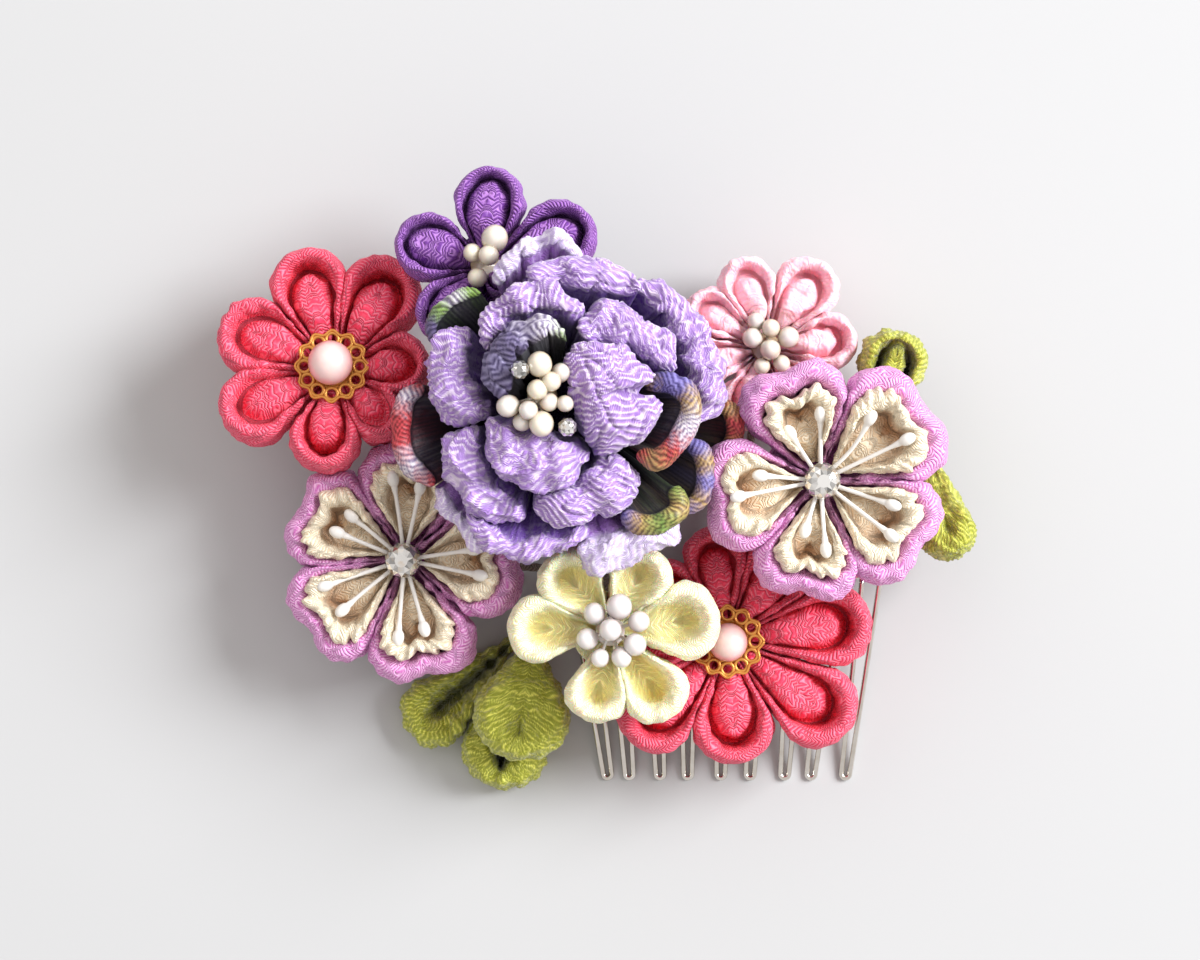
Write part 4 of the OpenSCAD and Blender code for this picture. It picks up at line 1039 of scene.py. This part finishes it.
# %% A circle along a line
def tube(route, radius, sides=12, wrap=0.0, turns=0):
    """Rings round a route. Each ring stands square to the route; radius is one number a ring.

    Wrap is the height of a ripple that winds round the tube this many turns, as a share of the radius.
    """
    route = np.asarray(route, float)
    radius = np.broadcast_to(radius, len(route)).astype(float)
    ahead = np.gradient(route, axis=0)
    ahead /= np.linalg.norm(ahead, axis=1, keepdims=True)
    plane = np.linalg.eigh(ahead.T @ ahead)[1][:, 0]
    side = np.cross(ahead, plane)
    side /= np.linalg.norm(side, axis=1, keepdims=True)
    top = np.cross(side, ahead)
    angle = np.linspace(0, 2 * np.pi, sides, endpoint=False)
    run = lengths(route)
    share = run / run[-1]
    ripple = 1 + wrap * np.cos(angle[None] + 2 * np.pi * turns * share[:, None])
    ring = side[:, None] * np.cos(angle)[None, :, None] + top[:, None] * np.sin(angle)[None, :, None]
    points = route[:, None] + ring * (radius[:, None] * ripple)[..., None]
    ids = np.arange(len(route) * sides).reshape(len(route), sides)
    flat = np.stack([np.repeat(run, sides), np.tile(angle * radius.mean(), len(route))], -1)
    return surface(points.reshape(-1, 3), closed(ids), [ids[0], ids[-1][::-1]], flat, deep=np.zeros(ids.size))


def post(low, high, radius, count, **thread):
    """An upright tube in the middle of a flower."""
    z = np.linspace(low, high, count)
    return tube(np.stack([0 * z, 0 * z, z], -1), radius, 20, **thread)


def drop(foot, centre, radius, thread, neck=0.5, sides=24, bend=0.0, stretch=1.0):
    """A bead on its thread: a thin tube from the foot that swells into a ball round the centre."""
    foot, centre = np.asarray(foot, float), np.asarray(centre, float)
    axis = centre - foot
    reach = np.linalg.norm(axis)
    axis /= reach
    phi = np.linspace(np.arcsin(min(1, thread / radius)) + 0.25, np.pi - 0.03, 18)
    ball_x, ball_r = reach - stretch * radius * np.cos(phi), radius * np.sin(phi)
    start = ball_x[0] - neck
    stem_x = np.concatenate([np.linspace(0, start, 8), start + neck * np.linspace(0.25, 0.85, 4)])
    swell = soft_step((stem_x - start) / neck)
    stem_r = mix(thread, ball_r[0], swell**1.5)
    x, r = np.concatenate([stem_x, ball_x]), np.concatenate([stem_r, ball_r])
    sideways = np.cross(axis, [0.2, 0.3, 1.0])
    sideways /= np.linalg.norm(sideways)
    route = foot + axis * x[:, None] + sideways * (bend * np.sin(np.pi * np.clip(x / reach, 0, 1)))[:, None]
    return tube(route, r, sides)


# %% Pearls in the small flowers and the peony
def with_edge(part):
    """Stores how far each point has turned away from straight up; the finish paints shade there."""
    upward = np.clip(normals(part)[:, 2], 0, 1)
    return {**part, "layers": {**part["layers"], "edge": 1 - upward**0.6}}


PEARL_THREAD, POST_R = 0.22, 1.8


def pearls(flower_name, heads, at, finish, meet=3.6, low=0.0, high=4.2):
    """Pearls whose threads meet on a post of bound thread that runs from low to high.

    A row of heads is a pearl's place and radius. Meet is the height at which the threads meet.
    """
    parts = []
    pick = np.random.default_rng(len(heads))
    for x, y, z, radius in heads:
        aim = np.array([x, y, 0]) / max(np.hypot(x, y), 0.6) * 1.2
        foot = aim * 0.8 + [0, 0, meet]
        bead = drop(foot, (x, y, z), radius, PEARL_THREAD, neck=0.5 * radius, stretch=pick.uniform(1, 1.2))
        bead["layers"]["tint"] = np.full(len(bead["points"]), pick.uniform(0, 1))
        parts.append(bead)
    parts.append(post(low, high, POST_R, 30, wrap=0.05, turns=12))
    parts[-1]["layers"]["tint"] = np.ones(len(parts[-1]["points"]))
    whole = with_edge(standing(parts, at))
    piece_of(flower_name + "_beads", whole, finish, [flower_name + "_pearls"])


VIOLET_PEARLS = [[1.5, 2.6, 8, 1.7], [-1.3, 0.9, 7.4, 1.2], [0.8, 0.4, 8.4, 1.3], [-0.7, -2.2, 7.2, 1.25]]
BLUSH_PEARLS = [
    [-1.5, 3, 6.8, 1.15], [0.3, 2, 7.8, 1.2], [2.6, 0.9, 7.4, 1.4], [-2, 0.8, 7.2, 1.35],
    [0.2, -0.8, 8, 1.35], [-0.8, -2.8, 6.8, 1.1], [1.8, -2.4, 6.6, 1.1]]
LEMON_PEARLS = [
    [1.1, 3.3, 7.8, 1.65], [-2, 2.4, 7.2, 1.4], [0, 0.4, 8.6, 1.45], [3.6, 1.4, 7.2, 1.35],
    [3.1, -1.5, 7.6, 1.45], [-2.9, -0.8, 7.2, 1.4], [-1.3, -3.2, 7, 1.2], [1.4, -3.1, 7.2, 1.3]]
pearls("violet", VIOLET_PEARLS, VIOLET_AT, IVORY_PEARL)
pearls("blush", BLUSH_PEARLS, BLUSH_AT, IVORY_PEARL)
pearls("lemon", LEMON_PEARLS, LEMON_AT, WHITE_PEARL)

# The peony's post stands on its plate, a little beside the middle
POST_X, POST_Y = -7.2, 10.6
PEONY_PEARLS = [
    [-7.4, 14.2, 33.6, 1.55], [-6, 12.1, 33.2, 1.25], [-7.7, 11.1, 33.4, 1.3], [-11.3, 9.1, 32.4, 1.4],
    [-8.8, 8.6, 33.2, 1.2], [-7.2, 6.9, 32.8, 1.55], [-4.3, 9.4, 32.4, 1.05], [-4.9, 13.2, 31.6, 1.2],
    [-6.3, 9.6, 32.2, 1.2], [-9.6, 7.2, 31.6, 1.2]]
round_post = [[x - POST_X, y - POST_Y, z, r] for x, y, z, r in PEONY_PEARLS]
pearls("peony", round_post, (POST_X, POST_Y, 0, 0, 0), IVORY_PEARL, meet=29, low=16.6, high=29.6)


# %% Large pearls, on pierced caps
def ball(centre, radius, sides=48):
    """A ball as a tube that widens and narrows, closed by two tiny caps."""
    phi = np.linspace(0.02, np.pi - 0.02, 32)
    route = np.asarray(centre) + np.stack([0 * phi, 0 * phi, -radius * np.cos(phi)], -1)
    return tube(route, radius * np.sin(phi), sides)


def ring(centre, radius, thick, sides=10, count=28):
    """A closed wire ring that lies flat: a circle carried round a circle."""
    a = np.linspace(0, 2 * np.pi, count, endpoint=False)[:, None]
    b = np.linspace(0, 2 * np.pi, sides, endpoint=False)[None]
    r = radius + thick * np.cos(b)
    points = np.stack([r * np.cos(a), r * np.sin(a), thick * np.sin(b) + 0 * a], -1) + centre
    ids = np.arange(count * sides).reshape(count, sides)
    points = points.reshape(-1, 3)
    return surface(points, closed(np.concatenate([ids, ids[:1]])), [], points[:, :2], deep=np.zeros(ids.size))


def lathe(r, h, sides):
    """A profile of radius and height, turned round the z axis and closed at both ends."""
    a = np.linspace(0, 2 * np.pi, sides, endpoint=False)
    points = np.stack([r[:, None] * np.cos(a), r[:, None] * np.sin(a), h[:, None] + 0 * a], -1).reshape(-1, 3)
    ids = np.arange(len(r) * sides).reshape(len(r), sides)
    ends = [ids[0][::-1], ids[-1]]
    return surface(points, closed(ids)[::-1], ends, points[:, :2], deep=np.zeros(ids.size))


# Radius, number of holes, their radius and their distance inside the edge, and the height of the pearl's
# seat over the foot of the cap
CAP_R, CAP_HOLES, HOLE_R, HOLE_IN, PEARL_OVER_CAP = 4.3, 12, 0.78, 0.75, 0.9
# Radius and height of the thin bowl, from the middle of its underside round to the middle of its top
BOWL_R = np.array([0.05, 1.2, 2.0, 2.7, 2.75, 2.0, 1.2, 0.05])
BOWL_H = np.array([0.0, 0.02, 0.2, 0.75, 0.95, 0.45, 0.25, 0.22])


def cap(at, z):
    """A dished cap: a ring of wire rings round a thin bowl, with a scalloped outer edge."""
    around = np.arange(CAP_HOLES) * 2 * np.pi / CAP_HOLES
    hole_at = CAP_R - HOLE_IN
    parts = [ring([hole_at * np.cos(a), hole_at * np.sin(a), z + 1.35], HOLE_R, 0.24) for a in around]
    angle = np.linspace(0, 2 * np.pi, 240)
    edge = CAP_R + 0.1 + 0.28 * np.cos(CAP_HOLES * angle)
    rim = np.stack([edge * np.cos(angle), edge * np.sin(angle), 0 * angle + z + 1.5], -1)
    parts.append(tube(rim, 0.2, 10))
    parts.append(ring([0, 0, z + 0.95], hole_at - 0.85, 0.26, count=60))
    parts.append(lathe(BOWL_R, BOWL_H + z, 48))
    return standing(parts, at)


# Side, place, height of the cap, radius of the pearl
for side, at, z, radius in (("left", CORAL_LEFT_AT, 4.7, 2.85), ("lower", CORAL_LOWER_AT, 3.8, 2.5)):
    piece_of(f"coral_{side}_filigree", cap(at, z), GILT, [f"coral_{side}_cap"])
    bead = with_edge(standing([ball((0, 0, z + PEARL_OVER_CAP + radius), radius)], at))
    piece_of(f"coral_{side}_bead", bead, PINK_PEARL, [f"coral_{side}_pearl"])

# %% [markdown]
# ## Stamens and cut stones
# Two stamens lie over each cherry petal: stiff white thread with a drop of paste at the end. A stone with
# a foiled back sits on their crossing. It is a low dome with a flat top, made of rings of corners with
# triangles between. Each facet stores a value from dark to bright that paints the glint and reflection it
# would show. Two small beads among the peony's pearls are cut the same way.

# %% Stamens
# Height of the threads' foot, their angle from upright, and the radii of the drop and of the thread
STAMEN_Z, STAMEN_TILT, BULB_R, THREAD_R = 5.2, 68.0, 0.78, 0.27
# Direction, distance of the drop from the centre, and how far the thread bends sideways
RIGHT_STAMENS = [
    [125, 7.4, 0.0], [93, 8.4, 0.0], [54, 9.8, 0.6], [27, 11.6, 0.0], [341, 9.2, 0.0], [321, 10.8, 0.0],
    [250, 6.6, 0.0], [272, 8.6, 0.1], [175, 8, 0.0], [190, 11, 0.0]]
LEFT_STAMENS = [
    [95, 10.6, 0.1], [75, 9.8, 0.0], [156, 9, 0.0], [138, 8.6, 0.0], [198, 10.2, 0.0], [220, 9.8, 0.1],
    [268, 9.8, 0.0], [289, 9.2, 0.0], [9, 9.6, 0.0], [350, 10.4, 0.0]]


def stamens(at, table):
    """Threads from the centre that rise a little, each ending in a long drop."""
    rise = np.tan(np.radians(90 - STAMEN_TILT))
    parts = []
    for direction, distance, bend in table:
        a = np.radians(direction)
        aim = np.array([np.cos(a), np.sin(a), 0])
        foot = aim * 1.2 + [0, 0, STAMEN_Z - 0.2]
        head = aim * distance + [0, 0, STAMEN_Z + (distance - 2) * rise]
        parts.append(drop(foot, head, BULB_R, THREAD_R, neck=1.9, sides=16, bend=bend, stretch=1.45))
    parts.append(post(0, STAMEN_Z + 0.4, 1.9, 8))
    return standing(parts, at)


# %% Cut stone
# Radius, height over the girdle, seat, and height of the girdle over the seat
GEM_R, GEM_CROWN, GEM_SEAT, GEM_GIRDLE = 2.35, 1.3, 5.9, 0.7
BEAD_R, BEAD_CROWN, BEAD_SIDES = 1.2, 1.1, 8
BEADS_AT = [(-9.8, 13.5, 34.5), (-4, 6.5, 33.2)]
# Radius and height of each ring of corners, as shares
FACET_RINGS = np.array([[0.36, 1.0], [0.68, 0.84], [0.9, 0.5], [1.0, 0.0], [0.8, -0.35], [0.3, -0.7]])


def brilliant(radius, crown, sides=12):
    """Corners and faces of a domed stone. Each ring is turned half a step from the one above."""
    rings = FACET_RINGS
    turn = (np.arange(sides)[None] + 0.5 * (np.arange(len(rings)) % 2)[:, None]) * 2 * np.pi / sides
    r = radius * rings[:, :1]
    h = crown * rings[:, 1:] + 0 * turn
    corners = np.stack([r * np.cos(turn), r * np.sin(turn), h], -1).reshape(-1, 3)
    faces = [list(range(sides))]
    for i in range(len(rings) - 1):
        for k in range(sides):
            a, b = i * sides + k, i * sides + (k + 1) % sides
            c, d = a + sides, b + sides
            faces += [[a, c, d], [a, d, b]] if i % 2 else [[a, c, b], [b, c, d]]
    faces.append(list(range(len(corners) - 1, len(corners) - sides - 1, -1)))
    return corners, faces


def stone_finish():
    """Foiled glass: each facet is painted its own grey as a painted glint, warmed in places, under a clear
    coat.
    """
    finish, tree, main = new_finish(
        "foiled stone", Metallic=0.75, Roughness=0.07, Coat_Weight=1.0, Coat_Roughness=0.02)
    colour = blend(tree, layer(tree, "painted_glint"), srgb(70, 68, 66), srgb(252, 250, 246))
    place = add(tree, "ShaderNodeTexCoord").outputs["Object"]
    warm = ranged(tree, noise(tree, place, 900.0), 0.55, 0.7, 0.35)
    painted(tree, main, blend(tree, warm, colour, srgb(226, 190, 140)))
    return finish


STONE = stone_finish()


def cut_stone(name, corners, faces, nodes, painted_glint):
    """A faceted piece with one value a facet, from dark to bright, that paints its glint."""
    part = {"points": corners, "faces": faces, "uv": corners[:, :2] / CLOTH_UNIT, "layers": {}}
    piece = piece_of(name, part, STONE, nodes, smooth=False)
    stored = piece.data.attributes.new("painted_glint", "FLOAT", "FACE")
    stored.data.foreach_set("value", painted_glint.astype(np.float32))


for side, at, table, seed in (
        ("right", CHERRY_RIGHT_AT, RIGHT_STAMENS, 3), ("left", CHERRY_LEFT_AT, LEFT_STAMENS, 8)):
    piece_of(f"cherry_{side}_threads", stamens(at, table), STAMEN, [f"cherry_{side}_stamens"])
    corners, faces = brilliant(GEM_R, GEM_CROWN)
    # Each facet's grey is a painted glint, and the flat top is painted bright
    painted_glint = np.random.default_rng(seed).uniform(0.05, 1.0, len(faces)) ** 0.7
    painted_glint[0] = 0.95
    corners = stood(corners + [0, 0, GEM_SEAT + GEM_GIRDLE], at)
    cut_stone(f"cherry_{side}_stone", corners, faces, [f"cherry_{side}_gem"], painted_glint)
for i, place in enumerate(BEADS_AT):
    corners, faces = brilliant(BEAD_R, BEAD_CROWN, BEAD_SIDES)
    # Each facet's grey is a painted glint
    painted_glint = np.random.default_rng(20 + i).uniform(0.1, 1.0, len(faces))
    cut_stone(f"peony_glitter_{i + 1}", corners + place, faces, [], painted_glint)

# %% [markdown]
# ## The comb
# Each tooth is one wire bent like a hairpin, and its two ends are bound with thin wire to a bar that the
# flowers hide.

# %% Teeth and bar
# The tips stand where they do in the picture, and the legs' tops are evenly spaced along the bar
TIP_X = [1, 3.9, 8, 11.7, 16.1, 20, 24.6, 28.1, 32.7]
TIP_Y, BAR_Y, BAR_Z = -39.7, -12.5, 5.0
FIRST_TOP_X, LAST_TOP_X, LEG_GAP, TIP_GAP = -3.0, 35.8, 2.4, 1.1
WIRE_D, BAR_D, BINDING_R, LEG_ARCH = 0.7, 1.2, 0.16, 0.2


def tooth(i):
    """Down one leg, round the tip in a half circle, and back up the other leg. A leg arches a little."""
    top = FIRST_TOP_X + i * (LAST_TOP_X - FIRST_TOP_X) / (len(TIP_X) - 1)
    tip, low, r = TIP_X[i], WIRE_D / 2, TIP_GAP / 2
    a = np.linspace(np.pi, 2 * np.pi, 13)
    bend = np.stack([tip + r * np.cos(a), TIP_Y + r + r * np.sin(a), low + 0 * a], -1)

    def leg(side, foot):
        """From the bar down to the foot."""
        t = np.linspace(0, 1, 20)[:-1, None]
        start = np.array([top + side * LEG_GAP / 2, BAR_Y, BAR_Z])
        return mix(start, foot, t) + [0, 0, LEG_ARCH] * np.sin(np.pi * t)

    return tube(np.concatenate([leg(-1, bend[0]), bend, leg(1, bend[-1])[::-1]]), WIRE_D / 2, 14)


def binding(x):
    """Three turns of thin wire round the bar."""
    a = np.linspace(0, 6 * np.pi, 60)
    r = BAR_D / 2 + BINDING_R
    route = np.stack([x + 0.11 * a - 1.0, BAR_Y + r * np.cos(a), BAR_Z + r * np.sin(a)], -1)
    return tube(route, BINDING_R, 8)


bar_x = np.linspace(FIRST_TOP_X - 1.8, LAST_TOP_X + 1.0, 40)
bar = tube(np.stack([bar_x, 0 * bar_x + BAR_Y, 0 * bar_x + BAR_Z], -1), BAR_D / 2, 16)
tops = np.linspace(FIRST_TOP_X, LAST_TOP_X, len(TIP_X))
comb = joined([tooth(i) for i in range(len(TIP_X))] + [bar] + [binding(x) for x in tops])
piece_of("comb_wire", comb, WIRE, ["comb"])

# %% [markdown]
# ## Cards and stems
# Under each flower is a round card covered with its cloth, and a stem of wire wound with thread that
# runs to the bar. The leaves of each side share a stem, with a short branch to every leaf. All of this is
# hidden from above, and seen from the sides and back.

# %% Cards and wound stems
def card(at, radius, thick=1.0):
    """A round card just under the flower, with rounded edges."""
    h = -GAP - thick + np.array([0, 0, 0.15, 0.5, 0.85, 1, 1]) * thick
    r = radius + np.array([-radius + 0.02, -0.2, -0.05, 0, -0.05, -0.2, -radius + 0.02])
    return standing([lathe(r, h, 48)], at)


STEM_R, THREAD_PITCH, PER_RUN = 0.55, 0.5, 60


def wound(route):
    """Straight stems from corner to corner; each ripples once for every turn of its thread."""
    route = np.asarray(route, float)
    parts = []
    for a, b in zip(route[:-1], route[1:]):
        line = along([a, mix(a, b, 0.5), b], np.linspace(0, 1, PER_RUN))
        parts.append(tube(line, STEM_R, 12, wrap=0.1, turns=lengths(line)[-1] / THREAD_PITCH))
    return joined(parts)


# Flower, place, radius of the card, corners of the stem, finish
CARDS = [
    ("coral_left", CORAL_LEFT_AT, 6,
     [[-34.3, 13.6, 10], [-34.3, 13.6, 0.66], [-4, -8, 3], [-1.6, -11.1, 4.6]], CORAL),
    ("coral_lower", CORAL_LOWER_AT, 6, [[16.5, -20.9, 6.4], [15.4, -14.6, 6.5], [12.6, -12.5, 6.4]], CORAL),
    ("violet", VIOLET_AT, 5,
     [[-14.4, 26.8, 16], [-14.4, 26.8, 0.66], [-11.6, 5, 1.2], [2, -11.1, 4.6]], VIOLET),
    ("blush", BLUSH_AT, 5, [[21.4, 17, 5], [21.4, 17, 0.66], [18, -11.1, 4.6]], BLUSH),
    ("lemon", LEMON_AT, 5, [[1.3, -19.2, 15.9], [1.3, -18.6, 11.5], [0.8, -12.5, 6.4]], LEMON),
    ("cherry_right", CHERRY_RIGHT_AT, 7, [[27.7, 0, 16], [27.7, 0, 3], [27, -11.1, 4.6]], ORCHID),
    ("cherry_left", CHERRY_LEFT_AT, 7, [[-25, -10.2, 7], [-25, -10.2, 1.4], [-5.4, -11.8, 5]], ORCHID)]
for name, at, radius, route, finish in CARDS:
    piece_of(name + "_card", card(at, radius), finish, [name + "_base"])
    piece_of(name + "_stem", wound(route), STEM, [])
PLATE_R, PLATE_T = 11, 1.6
plate = card((PEONY_AT[0], PEONY_AT[1], PLATE_Z + GAP, 0, 0), PLATE_R, PLATE_T)
plate = joined([plate, wound([[-5.6, 10, 15], [-5.6, 10, 3.4], [5.6, -11.1, 4.6]])])
piece_of("peony_plate", plate, SHADE, ["peony_base"])
# Where the branches of the leaf stems meet
LEFT_FORK, RIGHT_FORK = [-8.2, -18.2, 4.2], [33.4, 6, 9]
LEAF_STEMS = {
    "left": [[LEFT_FORK, [-4, -12.6, 6.3]], [LEFT_FORK, [-9.2, -21.8, 8]], [LEFT_FORK, [-11.2, -21.2, 2.2]],
             [LEFT_FORK, [-10, -23, 2.6], [-11.1, -29.6, 2.2]]],
    "right": [[RIGHT_FORK, [33, -2, 6], [32.4, -11.1, 4.6]], [RIGHT_FORK, [36.6, 9, 10.4]],
              [RIGHT_FORK, [41.6, 4.8, 10.4]]]}
for side, branches in LEAF_STEMS.items():
    stems = joined([wound(branch) for branch in branches])
    piece_of(f"{side}_leaf_stem", stems, STEM, [f"leaves_{side}_stem"])
